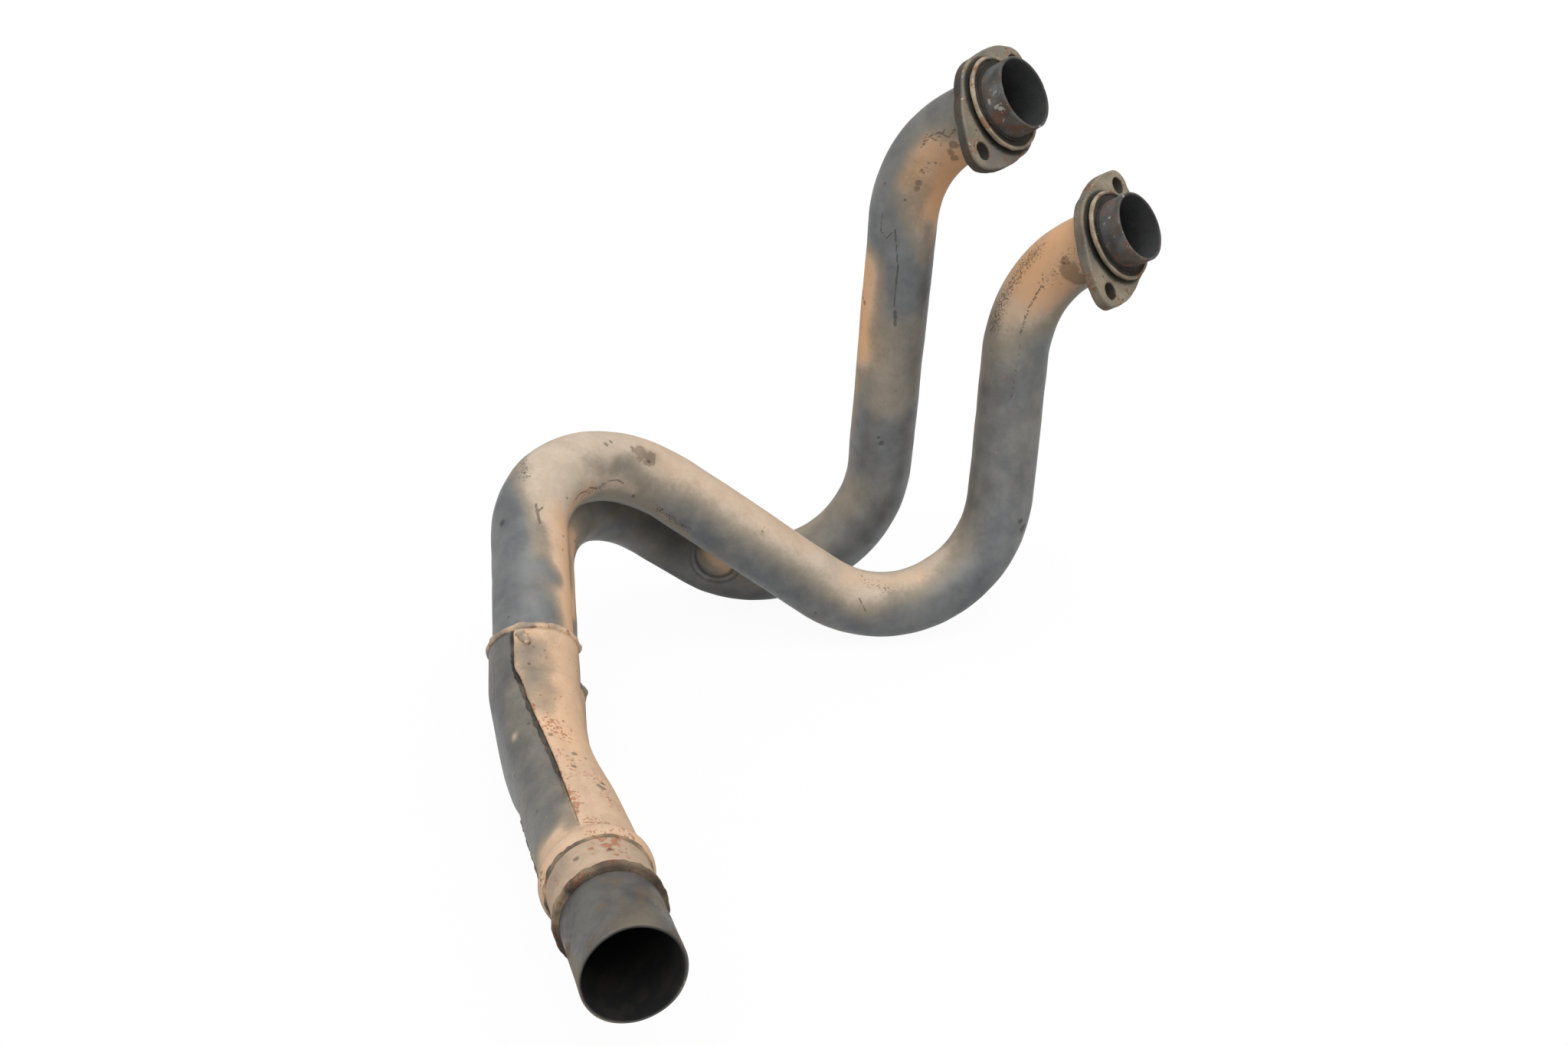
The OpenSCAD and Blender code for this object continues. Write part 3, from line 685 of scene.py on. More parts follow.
def port_finish(marks, skin, inside, line, seed):
    """In front of the collar the pipe is bare and dark, with rust, brown stains and pale chips. The bore is black
    with soot, painted lighter toward the mouth as light reaching in.
    """
    forward = (skin.points - line[4]) @ line[3][2]
    near = np.linalg.norm(skin.points - line[4] - forward[:, None] * line[3][2], axis=1) < PORT_REACH
    spigot = smooth((forward + SPIGOT_BACK) / 1.5) * near
    low = smooth(0.35 - skin.normals[:, 2])
    inner = inside > 0.99
    outer_soot = spigot * np.clip(0.27 + 0.12 * waves(skin.points, 9, seed), 0.15, 0.7)
    # the bore's soot is painted lighter toward the mouth, as light reaching in
    bore_soot_and_light = 1 - 0.3 * smooth((forward + LIT_BORE) / LIT_BORE) * near
    rusted = held(0.16 + 0.26 * low + 0.16 * waves(skin.points, 11, seed + 1))
    brown = held(0.46 + 0.25 * low + 0.2 * waves(skin.points, 8, seed + 3))
    chips = held(0.1 + 0.14 * waves(skin.points, 6, seed + 2) + skin.patches(CHIPS))
    marks["dust"] *= 1 - spigot
    marks["soot"] = np.where(inner, bore_soot_and_light, np.maximum(marks["soot"], outer_soot))
    marks["rust"] = np.maximum(marks["rust"], spigot * rusted * ~inner)
    marks["stain"] = np.maximum(marks["stain"], spigot * brown * ~inner)
    marks["chip"] = spigot * chips * ~inner


def add_pipe(node, line, relief, seed, edge_rings=False, **strokes):
    """One header pipe's skin, with dark rings round the pressed oval where it has one."""
    points, normals, inside, quads = pipe_skin(line, relief)
    skin = Skin(points, normals)
    marks = pipe_marks(skin, inside, seed=seed, **strokes)
    port_finish(marks, skin, inside, line, seed + 5)
    if edge_rings:
        ratio = oval_ratio(skin.points, skin)
        rings = 0.75 * np.exp(-((ratio - 1.0) / 0.07) ** 2) + 0.6 * np.exp(-((ratio - OVAL_GROOVE) / 0.05) ** 2)
        marks["soot"] = np.maximum(marks["soot"], rings * (inside < 0.5))
    add_piece(node + "_skin", points, outward(points, quads), header_steel, node, marks)


add_pipe("lower_header_pipe", lower_line, lower_relief, 31, dust=LOWER_DUST, warm=LOWER_WARM,
         freckles=LOWER_FRECKLES, grime=LOWER_GRIME_AND_SHADE, lines=LOWER_LINES, dots=LOWER_DOTS,
         stains=LOWER_STAINS, rust=LOWER_RUST)
add_pipe("upper_header_pipe", upper_line, upper_relief, 41, edge_rings=True, dust=UPPER_DUST, warm=UPPER_WARM,
         freckles=UPPER_FRECKLES, grime=UPPER_PAINTED_SHADE, lines=UPPER_LINES, dots=UPPER_DOTS,
         stains=UPPER_STAINS, rust=())


# ---- turned pieces ----

def turned_piece(profile, origin, axes, columns=144, relief=None):
    """A closed profile of (radius, height) pairs carried round an axis, each point
    origin + r (cos a x + sin a y) + h z, and then moved along the profile's normal by the relief."""
    profile = np.array(profile, float)
    a = np.linspace(0, 2 * np.pi, columns, endpoint=False)
    x, y, z = axes
    around = np.cos(a)[:, None] * x + np.sin(a)[:, None] * y
    points = origin + profile[:, 0][:, None, None] * around[None] + profile[:, 1][:, None, None] * z
    if relief is not None:
        edge = np.roll(profile, -1, 0) - np.roll(profile, 1, 0)
        middle = profile.mean(0)
        out = np.stack([edge[:, 1], -edge[:, 0]], 1)
        out /= np.maximum(np.linalg.norm(out, axis=1, keepdims=True), 1e-9)
        out *= np.sign(((profile - middle) * out).sum(1))[:, None]
        way = out[:, 0][:, None, None] * around[None] + out[:, 1][:, None, None] * z
        points = points + relief(points)[..., None] * way
    quads = grid_quads(len(profile), columns, True, True)
    points = points.reshape(-1, 3)
    quads = outward(points, quads)
    a, b, c = points[quads[:, 0]], points[quads[:, 1]], points[quads[:, 2]]
    faces = np.cross(b - a, c - a)
    normals = np.zeros_like(points)
    for corner in range(4):
        np.add.at(normals, quads[:, corner], faces)
    normals /= np.maximum(np.linalg.norm(normals, axis=1, keepdims=True), 1e-9)
    return points, normals, quads


def dense(profile, step=0.5):
    """The closed profile with each side cut into steps."""
    profile = np.array(profile, float)
    after = np.roll(profile, -1, 0)
    parts = []
    for p, q in zip(profile, after):
        n = max(1, int(np.ceil(np.linalg.norm(q - p) / step)))
        parts.append(p + (q - p) * np.linspace(0, 1, n, endpoint=False)[:, None])
    return np.concatenate(parts)


def rounded(cx, cy, r, start, stop, count=6):
    """Points of an arc about (cx, cy), from the start angle to the stop angle."""
    a = np.radians(np.linspace(start, stop, count))
    return [(cx + r * np.cos(t), cy + r * np.sin(t)) for t in a]


def add_turned(name, profile, place, relief, material, node, marks_for, columns=144, sharp_degrees=None):
    """A turned piece on a place, which is an origin and its three axes."""
    points, normals, quads = turned_piece(profile, *place, columns, relief)
    add_piece(name, points, quads, material, node, marks_for(Skin(points, normals)), sharp_degrees)


def height_and_radius(points, origin, way):
    """Distance along an axis and distance from it."""
    height = (points - origin) @ way
    return height, np.linalg.norm(points - origin - height[:, None] * way, axis=1)


FLOOR_BACK = -COLLAR_SETBACK + HUB_LENGTH
FLOOR_FRONT = FLOOR_BACK + COLLAR_FLOOR


def collar_profile():
    """Hub, floor and rounded rim, with the groove between the rim and the pipe."""
    back, rim = -COLLAR_SETBACK, RIM_WIDTH / 2
    corner = 0.5
    return ([(TUBE_R, back), (HUB_R, back), (HUB_R, FLOOR_BACK)]
            + rounded(COLLAR_R - corner, FLOOR_BACK + corner, corner, -90, 0, 4)
            + rounded(COLLAR_R - rim, back + COLLAR_DEPTH - rim, rim, 0, 180, 9)
            + [(COLLAR_R - RIM_WIDTH, FLOOR_FRONT), (TUBE_R, FLOOR_FRONT)])


def add_collar(side, line, seed):
    """A port collar and its weld. Their waves stay small and mostly inward, clear of the plate behind."""
    face, mouth = line[3], line[4]

    def collar_marks(skin):
        height, radius = height_and_radius(skin.points, mouth, face[2])
        # deep darkens the groove inside the rim; behind is painted shadow on the hub, between the rim and the plate
        deep = smooth((COLLAR_R - RIM_WIDTH + 0.3 - radius) / 0.5) * (height > FLOOR_BACK + 0.1)
        behind = smooth((FLOOR_BACK + 0.2 - height) / 0.6)
        return {"dust": patchy(skin.points, 0.62, 0.3, 14, seed + 2), "soot": np.maximum(deep, behind) * 0.9,
                "rust": patchy(skin.points, 0.22, 0.25, 12, seed + 3)}

    add_turned(side + "_port_collar_skin", dense(collar_profile()), (mouth, face),
               lambda p: np.minimum(0.12 * waves(p, 9, seed) + 0.1 * waves(p, 22, seed + 1) - 0.06, 0.04),
               collar_steel, side + "_port_collar", collar_marks, sharp_degrees=50)
    bead = [(TUBE_R - 0.3, FLOOR_FRONT - 0.3)] + rounded(TUBE_R, FLOOR_FRONT, 1.2, -10, 100, 8)
    add_turned(side + "_collar_weld_bead", bead, (mouth, face), lambda p: 0.16 * waves(p, 4, seed + 4),
               weld_steel, side + "_collar_weld",
               lambda skin: {"soot": np.full(len(skin.points), 0.75), "dust": np.zeros(len(skin.points))})


add_collar("lower", lower_line, 51)
add_collar("upper", upper_line, 61)


# ---- flange plates ----

def plate_radius(a):
    """Outline of a plate by angle: the furthest of the middle disc, the two ears and the flanks' long arcs."""
    c, s = np.abs(np.cos(a)), np.abs(np.sin(a))
    disc = np.full(a.shape, PLATE_MIDDLE_R)
    under_root = EAR_R ** 2 - (STUD_REACH * s) ** 2
    ear = np.where(under_root > 0, STUD_REACH * c + np.sqrt(np.maximum(under_root, 0)), 0)
    flank_r = (STUD_REACH ** 2 + PLATE_FLANK ** 2 - EAR_R ** 2) / (2 * (PLATE_FLANK - EAR_R))
    offset = flank_r - PLATE_FLANK
    flank = -offset * s + np.sqrt(flank_r ** 2 - (offset * c) ** 2)
    touch = STUD_REACH * flank_r / (flank_r - EAR_R)
    flank = np.where(flank * c > touch, 0, flank)
    return np.maximum(np.maximum(disc, ear), flank)


PLATE_TOP = -PLATE_FRONT
PLATE_BOTTOM = PLATE_TOP - PLATE_THK
EDGE_ROUND = 0.9
BORE_ROUND = (0.3, 0.4)
HOLE_FLARE = 0.6
PLATE_SHARP = 38


def plate_skin(seed, columns=288):
    """Rings about the port axis: front face, rounded edge, side, rounded edge, back face and bore. On the
    faces a ring's radius goes from the bore to the outline, and rough waves press the skin in."""
    a = np.linspace(0, 2 * np.pi, columns, endpoint=False)
    bore, edge = np.full(columns, PLATE_BORE_R), plate_radius(a)
    inner, outer = bore + BORE_ROUND[0], edge - EDGE_ROUND
    shares = np.linspace(0, 1, 15)
    turns = np.radians(np.linspace(90, 0, 5))
    rings = [(bore, PLATE_TOP - BORE_ROUND[1])]
    rings += [(inner + (outer - inner) * share, PLATE_TOP) for share in shares]
    rings += [(outer + EDGE_ROUND * np.cos(t), PLATE_TOP - EDGE_ROUND + EDGE_ROUND * np.sin(t)) for t in turns[1:]]
    rings += [(edge, height) for height in np.linspace(PLATE_TOP - EDGE_ROUND, PLATE_BOTTOM + EDGE_ROUND, 6)[1:]]
    rings += [(outer + EDGE_ROUND * np.cos(t), PLATE_BOTTOM + EDGE_ROUND - EDGE_ROUND * np.sin(t))
              for t in turns[::-1][1:]]
    rings += [(inner + (outer - inner) * share, PLATE_BOTTOM) for share in shares[::-1]]
    rings += [(bore, PLATE_BOTTOM + BORE_ROUND[1])]
    points = np.array([np.stack([r * np.cos(a), r * np.sin(a), np.full(columns, h)], 1) for r, h in rings])
    lump = np.minimum(0.10 * waves(points, 18, seed) + 0.05 * waves(points, 6, seed + 1) - 0.05, 0.03)
    away = np.sign(points - np.array([0, 0, (PLATE_TOP + PLATE_BOTTOM) / 2]))
    points[1:-1] += (lump[..., None] * np.array([0.5, 0.5, 1.0]) * away)[1:-1]
    return points.reshape(-1, 3), grid_quads(len(points), columns, True, True)


def stud_cutter(side, material):
    """A round cutter with a slight flare at each face of the plate."""
    hole, wide = STUD_HOLE_R + 0.05, STUD_HOLE_R + HOLE_FLARE + 2
    profile = [(0.001, PLATE_TOP + 2), (wide, PLATE_TOP + 2), (hole, PLATE_TOP - HOLE_FLARE),
               (hole, PLATE_BOTTOM + HOLE_FLARE), (wide, PLATE_BOTTOM - 2), (0.001, PLATE_BOTTOM - 2)]
    points, _, quads = turned_piece(profile, np.array([side * STUD_REACH, 0, 0]), np.eye(3), 64)
    return new_object("stud_cutter", points, quads.tolist(), material)


def plate_marks(local, seed, side_darkening):
    """Rust about the holes and the edge, dark in the holes, a darker side, painted shadow round the collar, and a
    worn edge.
    """
    from_axis = np.hypot(local[:, 0], local[:, 1])
    from_stud = np.hypot(np.abs(local[:, 0]) - STUD_REACH, local[:, 1])
    below = PLATE_TOP - local[:, 2]
    edge_gap = np.abs(from_axis - plate_radius(np.arctan2(local[:, 1], local[:, 0])))
    hole_gap = np.abs(from_stud - STUD_HOLE_R)
    rust = 0.14 + 0.2 * waves(local, 13, seed + 2) + 0.25 * np.exp(-hole_gap / 1.5) + 0.1 * np.exp(-edge_gap / 2.0)
    in_hole = (from_stud < STUD_HOLE_R + 0.2) & (below > 0.5)
    # the plate's side is painted darker, more on the upper plate
    side_dark = smooth((1.2 - edge_gap) / 1.0) * smooth((below - 0.8) / 0.8) * side_darkening
    # painted shadow on the front face round the collar
    shadow = smooth((COLLAR_R + 2.2 - from_axis) / 1.6) * (below < 0.5)
    worn = 0.34 * np.exp(-edge_gap / 0.7) * smooth((1.5 - below) / 0.8) * (0.75 + 0.4 * waves(local, 9, seed + 4))
    return {"dust": patchy(local, 0.42, 0.3, 24, seed + 3), "chip": held(worn), "rust": held(rust),
            "soot": held(np.maximum(np.maximum(in_hole * 0.85, side_dark), shadow * 0.85))}


def add_plate(side, line, swivel, seed, side_darkening):
    """The plate's skin with its two stud holes cut, turned to its place on the port."""
    points, quads = plate_skin(seed)
    plate = new_object(side + "_flange_skin", points, outward(points, quads).tolist(), plate_iron)
    cutters = [stud_cutter(end, plate_iron) for end in (-1, 1)]
    for cutter in cutters:
        cut = plate.modifiers.new("hole", "BOOLEAN")
        cut.operation, cut.object, cut.solver = "DIFFERENCE", cutter, "EXACT"
    done = bpy.data.meshes.new_from_object(plate.evaluated_get(bpy.context.evaluated_depsgraph_get()))
    plate.modifiers.clear()
    plate.data = done
    for cutter in cutters:
        bpy.data.objects.remove(cutter)
    face, mouth = line[3], line[4]
    x = turned(face[0], face[2], np.array(swivel))
    axes = np.stack([x, np.cross(face[2], x), face[2]])
    local = np.zeros(len(done.vertices) * 3)
    done.vertices.foreach_get("co", local)
    local = local.reshape(-1, 3) / MILLIMETRE
    done.vertices.foreach_set("co", ((local @ axes + mouth) * MILLIMETRE).ravel())
    finish_piece(plate, side + "_plate", side + "_flange", plate_marks(local, seed, side_darkening),
                 PLATE_SHARP)


add_plate("lower", lower_line, LOWER_SWIVEL, 71, 0.2)
add_plate("upper", upper_line, UPPER_SWIVEL, 81, 0.7)


# ---- collector ----

DOWN = np.array([0, 0, -1.0])
BODY_MATRIX = turn_matrix((0, 1, 0), BODY_TURN) @ turn_matrix((1, 0, 0), BODY_TILT)
BODY_WAY = BODY_MATRIX @ DOWN
FULL_TURN = np.degrees(np.arccos(-BODY_WAY[2]))
TURN_AXIS = np.cross(DOWN, BODY_WAY) / np.linalg.norm(np.cross(DOWN, BODY_WAY))
ARC_TANGENT = BODY_BEND_R * np.tan(np.radians(FULL_TURN / 2))
ARC_START = BODY_DROP - ARC_TANGENT
ARC_LENGTH = BODY_BEND_R * np.radians(FULL_TURN)
ARC_END = ARC_START + ARC_LENGTH
NECK_END = ARC_END + BODY_LENGTH - ARC_TANGENT
BULGE_START = NECK_END - BULGE_LENGTH
BODY_START = BODY_DROP * DOWN


def centre_at(s):
    """The collector's centre path: straight down, an arc to the body's direction, then straight."""
    s = np.asarray(s, float)[..., None]
    a = np.radians(FULL_TURN) * held((s - ARC_START) / ARC_LENGTH)
    inward = np.cross(TURN_AXIS, DOWN)
    arc = DOWN * ARC_START + BODY_BEND_R * (DOWN * np.sin(a) + inward * (1 - np.cos(a)))
    body = BODY_START + BODY_WAY * (ARC_TANGENT + s - ARC_END)
    return np.where(s <= ARC_START, DOWN * s, np.where(s >= ARC_END, body, arc))


def front_seam(s):
    """Section angle of the seam that faces the viewer."""
    first, last, start, stop = FRONT_SEAM
    share = (s - start) / (stop - start)
    return first + (last - first) * smooth(share) + LAP_EDGE * smooth(1 - share)


def back_seam(s):
    """Section angle of the seam underneath, which wanders to the left side."""
    last, start, stop = BACK_SEAM
    return last * smooth((s - start) / (stop - start))


def section(s, p, inset):
    """A point of the shells at depth s and section angle p, as a mix of two inlet circles and one round neck.

    Each inlet circle gives two thirds of a quarter to its outer side, and its inner side fills to a
    bridge over the valley. The mix goes by smooth(s) from the entry to the merged body, whose radius
    swells to the rounded end. The right side is pressed in by a soft hollow.
    """
    s, p = np.broadcast_arrays(np.asarray(s, float), np.asarray(p, float))
    left = p <= 180
    q = np.where(left, p, 360 - p)
    fold = np.where(q > 90, 180 - q, q)
    a = np.where(fold <= 60, 1.5 * fold, 90 + 3 * (fold - 60))
    rise = np.sin(np.radians(a))
    fill = smooth((s - VALLEY[0]) / (VALLEY[1] - VALLEY[0]))
    lift = np.where(a <= 90, rise, rise + (1 - rise) * fill)
    r = INLET_R - inset
    web = np.where(inset > 0, 0.0, WEB_WALL)
    x = INLET_SPACING / 2 + r * np.cos(np.radians(a))
    x = np.where(q > 90, -x, x)
    y = np.where(a <= 90, r * lift, web + (r - web) * lift)
    t = (s - BULGE_START) / BULGE_LENGTH
    neck = NECK_R + (NECK_END_R + CROWN - NECK_R) * smooth(t / 0.6) - CROWN * smooth((t - 0.7) / 0.3) - inset
    w = smooth((s - MERGE[0]) / (MERGE[1] - MERGE[0]))
    x = (1 - w) * x + w * neck * np.cos(np.radians(q))
    y = (1 - w) * y + w * neck * np.sin(np.radians(q))
    pressed = HOLLOW * np.exp(-((s - HOLLOW_AT) / HOLLOW_REACH) ** 2) * np.sin(np.radians(q))
    y = np.where(left, y, pressed - y)
    turn = FULL_TURN * smooth((s - SECTION_TURN[0]) / (SECTION_TURN[1] - SECTION_TURN[0]))
    across = turned(np.broadcast_to(np.array([1.0, 0, 0]), s.shape + (3,)), TURN_AXIS, turn)
    aside = turned(np.broadcast_to(np.array([0, 1.0, 0]), s.shape + (3,)), TURN_AXIS, turn)
    return centre_at(s) + across * x[..., None] + aside * y[..., None]


def section_out(s, p):
    """Outward unit normal of the shells: the cross product of small steps along p and along s."""
    dp = section(s, p + 0.4, 0.0) - section(s, p - 0.4, 0.0)
    ds = section(s + 0.4, p, 0.0) - section(s - 0.4, p, 0.0)
    n = np.cross(dp, ds)
    n /= np.maximum(np.linalg.norm(n, axis=-1, keepdims=True), 1e-9)
    away = section(s, p, 0.0) - centre_at(s)
    return n * np.sign((n * away).sum(-1, keepdims=True))


LAP_HEIGHT = 2.3
LAP_WIDTH = 8.0
LAP_FADE = (112.0, 40.0)


def shell_skin(first, last, columns, lapped, rows=180):
    """One pressed half: outer points between its two seams, then inner points back, at each depth."""
    s = np.linspace(0, NECK_END, rows)[:, None]
    share = smooth(np.linspace(0, 1, columns)) * 0.35 + np.linspace(0, 1, columns) * 0.65
    p = first(s) + (last(s) - first(s)) * share[None]
    outer = section(s, p, 0.0)
    n = section_out(np.broadcast_to(s, p.shape), p)
    proud = front_lap(np.broadcast_to(s, p.shape), p, outer) if lapped else 0.0
    edge_round = 0.9 * smooth((s - NECK_END + 1.4) / 1.4) ** 2
    relief = 0.1 * waves(outer, 34, 91)
    outer_points = outer + n * (proud + relief - edge_round)[..., None]
    inner = section(s, p, SHELL_WALL)
    points = np.concatenate([outer_points, inner[:, ::-1]], 1)
    normals = np.concatenate([n, -n[:, ::-1]], 1)
    count = 2 * columns
    quads = [grid_quads(rows, count, False, True)]
    j = np.arange(columns - 1)
    for row in (0, rows - 1):
        cap = np.stack([row * count + j, row * count + j + 1, row * count + count - 2 - j,
                        row * count + count - 1 - j], 1)
        quads.append(cap if row == 0 else cap[:, ::-1])
    return points, normals, np.concatenate(quads), s, p


def lap_share(s):
    """How open the lap is: whole at first, then closing toward the neck."""
    return smooth(1 - (s - LAP_FADE[0]) / LAP_FADE[1])


def front_lap(s, p, outer):
    """The right half rises over the left one along the front seam."""
    seam = section(s[:, :1], front_seam(s[:, :1]), 0.0)
    gap = np.linalg.norm(outer - seam, axis=-1)
    near = p < 270
    ends = smooth(s / 5.0 + 0.15) * (0.35 + 0.65 * lap_share(s)) * smooth((BULGE_START + 2 - s) / 12.0)
    worn = 0.72 + 0.28 * smooth(gap / 0.9)
    rough = 1 + 0.16 * waves(seam, 13, 93) + 0.08 * waves(seam, 5, 94)
    return LAP_HEIGHT * smooth(1 - gap / LAP_WIDTH) ** 0.7 * near * ends * worn * rough


def add_shell(name, first, last, columns, lapped, material, marks_for):
    """One half of the collector, soot-black inside, with marks by depth and section angle."""
    points, normals, quads, s, p = shell_skin(first, last, columns, lapped)
    flat = to_bench(points.reshape(-1, 3))
    inner = np.concatenate([np.zeros(p.shape), np.ones(p.shape)], 1).ravel()
    depth = np.broadcast_to(s, (p.shape[0], 2 * p.shape[1])).ravel()
    angle = np.concatenate([p, p[:, ::-1]], 1).ravel()
    marks = marks_for(Skin(flat, normals.reshape(-1, 3) @ POSE.T), depth, angle)
    marks["soot"] = np.maximum(marks["soot"], inner)
    add_piece(name + "_skin", flat, outward(flat, quads), material, name, marks, 42)


LEFT_DUST = ((0.03, 14, (648, 868), (645, 910), (652, 960)), (0.24, 8, (668, 900), (680, 960), (698, 1004)),
             (0.06, 10, (664, 1000), (684, 1056)), (0.8, 1.8, (671, 961)), (0.12, 6, (696, 1050), (714, 1080)),
             (0.95, 5, (716, 1125), (740, 1084), (752, 1072)), (0.5, 4, (750, 1050), (746, 1075)))
LEFT_RUST = ((706, 1137, 4, 0.4), (712, 1155, 4, 0.4), (700, 1035, 2, 0.3))
LEFT_DOTS = ((701, 1058, 1.0), (672, 1012, 0.8), (655, 990, 0.8), (690, 945, 0.8))
RIGHT_DUST = ((1.05, 13, (732, 950), (758, 1015), (785, 1080)), (0.44, 6.5, (688, 850), (696, 880), (702, 902)),
              (0.68, 6, (704, 905), (712, 930)))
RIGHT_RUST = ((0.5, 5, (716, 940), (734, 958)), (0.36, 4, (740, 985), (752, 1010)),
              (0.52, 3, (744, 1030), (754, 1055)), (0.58, 3.2, (772, 1070), (812, 1078)),
              (0.4, 4, (776, 1088), (820, 1100)), (0.42, 4, (778, 1010), (800, 1050)))
RIGHT_WARM = ((0.4, 10, (730, 900), (745, 960)), (0.1, 14, (770, 1020), (790, 1080)))
RIGHT_STAINS = ((722, 938, 4.5, 0.34), (738, 962, 4.0, 0.38), (731, 950, 3.0, 0.2), (778, 1022, 4.0, 0.38),
                (760, 1046, 3.0, 0.4), (744, 1036, 2.0, 0.36))
RIGHT_DOTS = ((719, 958, 1.1), (751, 983, 1.2), (748, 1000, 1.3), (784, 1027, 2.2), (786, 1022, 1.5),
              (729, 1058, 1.2), (690, 866, 0.8), (735, 940, 0.8), (765, 990, 0.8), (706, 1090, 0.9))
NECK_DUST = (138, 22)


def seam_distance(skin, depth):
    """How far each point is from the front seam at its own depth."""
    return np.linalg.norm(skin.points - to_bench(section(depth, front_seam(depth), 0.0)), axis=1)


def left_marks(skin, depth, angle):
    """Mostly bare grey, with painted shadow under the lap and under the inlet ridge, and dust drifting in toward the
    neck.
    """
    seam_gap = seam_distance(skin, depth)
    to_neck = smooth((depth - NECK_DUST[0]) / NECK_DUST[1])
    drift = 0.1 + 0.1 * skin.normals[:, 2] + 0.05 * waves(skin.points, 52, 101) + 0.75 * to_neck
    dust = skin.painted(drift, LEFT_DUST) + 0.03 * waves(skin.points, 18, 102)
    rust = 0.25 * np.exp(-seam_gap / 2.0) * (0.6 + 0.5 * waves(skin.points, 8, 103)) + skin.patches(LEFT_RUST)
    reach = 2.4 + 1.8 * smooth(1 - depth / 30)
    shadow = (0.6 + 0.16 * waves(skin.points, 7, 104)) * smooth(1.1 - seam_gap / reach) * smooth(
        depth / 6) * lap_share(depth)
    # painted shadow under the inlet ridge, along the shell's top edge
    entry = 0.4 * smooth((3.2 - depth) / 1.4)
    return {"dust": held(dust), "rust": held(rust), "mark": skin.dots(LEFT_DOTS),
            "soot": held(np.maximum(shadow, entry)), "warm": 0.4 * to_neck}


def right_marks(skin, depth, angle):
    """Mostly under tan dust, with rust spots and streaks and a rusty lapped edge, whose edge face is painted dark as
    shade, and painted shadow under the inlet ridge.
    """
    seam_gap, lap = seam_distance(skin, depth), lap_share(depth)
    drift = 0.92 + 0.06 * waves(skin.points, 46, 111) - 0.45 * smooth(-skin.normals[:, 2] * 1.4)
    dust = skin.painted(drift, RIGHT_DUST) + 0.05 * waves(skin.points, 17, 112)
    none = np.zeros(len(depth))
    along_seam = smooth(1.2 - seam_gap / 2.2) * (0.75 + 0.5 * waves(skin.points, 9, 114)) * smooth(depth / 10)
    rust = skin.painted(none + 0.12, RIGHT_RUST) + 0.5 * along_seam * (0.3 + 0.7 * lap)
    # the lap's edge face along the seam, painted dark as shade
    edge = (0.6 + 0.2 * waves(skin.points, 6, 115)) * smooth((2.2 - seam_gap) / 0.8) * smooth(depth / 5) * lap
    edge = edge * (angle - front_seam(depth) < 0.9)
    return {"dust": held(dust), "rust": held(rust), "mark": skin.dots(RIGHT_DOTS),
            # with painted shadow under the inlet ridge, along the shell's top edge
            "soot": held(np.maximum(edge, 0.28 * smooth((2.8 - depth) / 1.2))),
            "warm": skin.painted(none + 0.25, RIGHT_WARM), "stain": skin.patches(RIGHT_STAINS)}


add_shell("collector_left_shell", back_seam, front_seam, 130, False, grey_steel, left_marks)
add_shell("collector_right_shell", front_seam, lambda s: 360 + back_seam(s), 150, True, tan_steel,
          right_marks)


# ---- welds on the collector ----

BEAD_SIDES = 14
BEAD_TESTED = 50


def bead_skin(centres, out, radius):
    """A rounded bead: rings about the line, each point centre + radius (cos a out + sin a across), with
    both ends drawn to a small closed tip."""
    way = np.gradient(centres, axis=0)
    way /= np.linalg.norm(way, axis=1, keepdims=True)
    across = np.cross(way, out)
    across /= np.linalg.norm(across, axis=1, keepdims=True)
    a = np.linspace(0, 2 * np.pi, BEAD_SIDES, endpoint=False)
    ring = np.cos(a)[None, :, None] * out[:, None] + np.sin(a)[None, :, None] * across[:, None]
    rings = (centres[:, None] + radius[:, None, None] * ring).reshape(-1, 3)
    tips = np.array([centres[0] - way[0] * radius[0] * 0.5, centres[-1] + way[-1] * radius[-1] * 0.5])
    count, j = len(rings), np.arange(BEAD_SIDES)
    after = (j + 1) % BEAD_SIDES
    caps = [np.stack([np.full(BEAD_SIDES, count), after, j], 1),
            np.stack([np.full(BEAD_SIDES, count + 1), count - BEAD_SIDES + j, count - BEAD_SIDES + after], 1)]
    normals = np.concatenate([ring.reshape(-1, 3), -way[:1], way[-1:]])
    return np.concatenate([rings, tips]), normals, grid_quads(len(centres), BEAD_SIDES, False, True), caps


def add_bead(name, line, out, radius, material, node, marks_for):
    """A bead with its faces outward, judged by the first ones: their normals lead away from the line."""
    points, normals, quads, caps = bead_skin(line, out, radius)
    faces = quads.tolist() + caps[0].tolist() + caps[1].tolist()
    a, b, c = (points[quads[:BEAD_TESTED, n]] for n in range(3))
    middle = points[quads[:BEAD_TESTED]].mean(1)
    spine = line[np.argmin(np.linalg.norm(line[None] - middle[:, None], axis=2), axis=1)]
    if (np.cross(b - a, c - a) * (middle - spine)).sum() < 0:
        faces = [face[::-1] for face in faces]
    add_piece(name, points, faces, material, node, marks_for(Skin(points, normals)))


def seam_line(seam, start, stop, sink, count=420):
    """Points on a seam with the shells' outward normals, sunk by a little."""
    s = np.linspace(start, stop, count)
    n = section_out(s, seam(s)) @ POSE.T
    return to_bench(section(s, seam(s), 0.0)) - sink * n, n, s


def lap_foot(s):
    """Section angle of the lap's foot, a little to the left of the seam."""
    return front_seam(s) - 2.2


def front_bead_marks(skin, share):
    """Dark with painted shade where the lap is open, dusty where it has closed, by the share that is closed."""
    closed = np.concatenate([np.repeat(share, BEAD_SIDES), [0, 1]])
    return {"dust": held(0.08 + 0.9 * closed + 0.2 * waves(skin.points, 14, 123)),
            "soot": 0.55 * (1 - closed) * patchy(skin.points, 0.7, 0.5, 9, 129),
            "rust": patchy(skin.points, 0.08, 0.2, 7, 124)}


